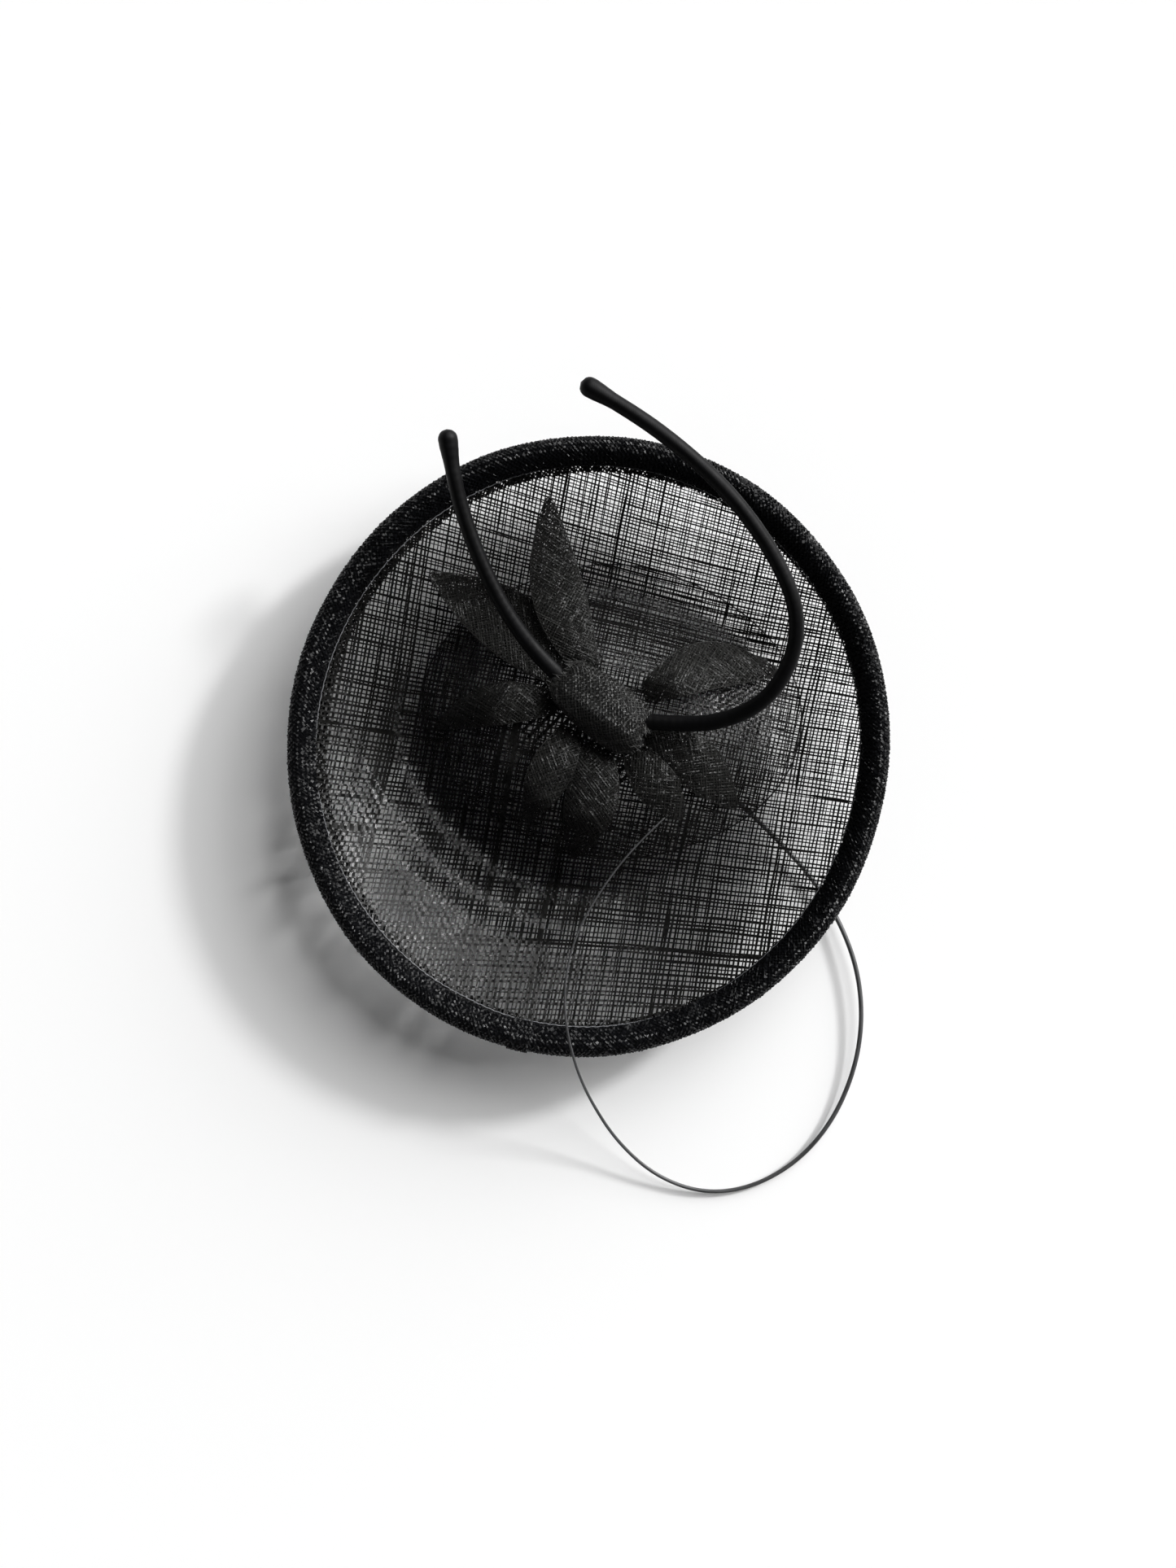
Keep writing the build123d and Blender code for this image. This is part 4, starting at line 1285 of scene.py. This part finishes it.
class FASCINATOR_OT_quill(bpy.types.Operator):
    """Curls the stripped quill, which thins to its tip and has a groove along its underside"""
    bl_idname = "fascinator.quill"
    bl_label = "Curled quill"

    def execute(self, context):
        root = context.scene.trim_sizes.quill_radius

        def section(length, whole, turn):
            size = mix(root, QUILL_TIP_RADIUS, smooth(0.35, 1.0, length / whole))
            size = size * rounding(np.minimum(length, whole - length) / (1.2 * size))
            groove = 1 - 0.28 * np.exp(-((np.cos(turn / 2 + 2.4) / 0.2) ** 2))
            return size * np.cos(turn) * groove, size * np.sin(turn) * groove * 0.92

        line = smooth_route(QUILL)
        item = swept("curled_quill_spine", line, count=520, around=14, section=section)
        dressed(item, "quill", "quill", "curled_quill")
        return {"FINISHED"}


class FASCINATOR_OT_fixings(bpy.types.Operator):
    """Finishes the comb, wires, piping and stitches that the frame already holds"""
    bl_idname = "fascinator.fixings"
    bl_label = "Fixings"

    def execute(self, context):
        for finish, nodes in {
            "comb_plastic": ("hair_comb",),
            "plain_thread": ("comb_stitches", "anchor_stitches", "quill_ties"),
            "wire": ("rim_wire", "left_stem_wire", "right_stem_wire"),
            "joiner": ("rim_wire_joiner",),
            "piping": ("left_stem_piping", "right_stem_piping"),
            "knot_lining": ("knot_core",),
        }.items():
            for node in nodes:
                painted_with(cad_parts[node], finish)
        return {"FINISHED"}


# ---------------- stage ----------------
class FASCINATOR_OT_stage(bpy.types.Operator):
    """Sets the camera above the disc, the soft lamps and the pale table"""
    bl_idname = "fascinator.stage"
    bl_label = "Stage"

    def execute(self, context):
        scene = context.scene
        scene.view_settings.view_transform = "Standard"
        camera = placed("camera", bpy.data.cameras.new("camera"))
        camera.data.sensor_width = CAMERA_SENSOR
        camera.data.lens = CAMERA_LENS
        camera.location = CAMERA_PLACE
        scene.camera = camera
        for lamp in LAMPS:
            self.lamp(*lamp)
        world = bpy.data.worlds.new("studio")
        world.use_nodes = True
        light = world.node_tree.nodes["Background"].inputs
        light["Color"].default_value = (1, 1, 1, 1)
        light["Strength"].default_value = WORLD_STRENGTH
        scene.world = world
        bm = bmesh.new()
        bmesh.ops.create_grid(bm, x_segments=2, y_segments=2, size=TABLE_HALF_SIZE)
        table = linked("table", bm)
        painted_with(table, "floor")
        return {"FINISHED"}

    def lamp(self, name, direction, elevation, width, strength):
        """A far lamp: where it stands, how wide it looks in degrees, and how strong it is."""
        data = bpy.data.lights.new(name, "SUN")
        data.angle = math.radians(width)
        data.energy = strength
        item = placed(name, data)
        flat = cosd(elevation)
        item.location = (flat * cosd(direction), flat * sind(direction), sind(elevation))
        item.rotation_euler = (-item.location).to_track_quat("-Z", "Y").to_euler()


class FASCINATOR_PT_panel(bpy.types.Panel):
    """Lists the fascinator's pieces"""
    bl_idname = "FASCINATOR_PT_panel"
    bl_label = "Fascinator"
    bl_space_type = "VIEW_3D"
    bl_region_type = "UI"
    bl_category = "Fascinator"

    def draw(self, context):
        column = self.layout.column()
        for name, group in GROUPS.items():
            for key in group.__annotations__:
                column.prop(getattr(context.scene, name), key)
        for piece in PIECES:
            column.operator(piece.bl_idname)


PIECES = (
    FASCINATOR_OT_stage,
    FASCINATOR_OT_disc,
    FASCINATOR_OT_underlay,
    FASCINATOR_OT_binding,
    FASCINATOR_OT_petals,
    FASCINATOR_OT_knot,
    FASCINATOR_OT_stems,
    FASCINATOR_OT_quill,
    FASCINATOR_OT_fixings,
)
GROUPS = {"disc_sizes": DiscSizes, "trim_sizes": TrimSizes, "finish_colours": FinishColours}
CLASSES = (*GROUPS.values(), *PIECES, FASCINATOR_PT_panel)


def register():
    for item in CLASSES:
        bpy.utils.register_class(item)
    for name, group in GROUPS.items():
        setattr(bpy.types.Scene, name, bpy.props.PointerProperty(type=group))


def unregister():
    for name in reversed(GROUPS):
        delattr(bpy.types.Scene, name)
    for item in reversed(CLASSES):
        bpy.utils.unregister_class(item)


def main():
    register()
    for piece in PIECES:
        group, name = piece.bl_idname.split(".")
        getattr(getattr(bpy.ops, group), name)()


if __name__ == "__main__":
    main()
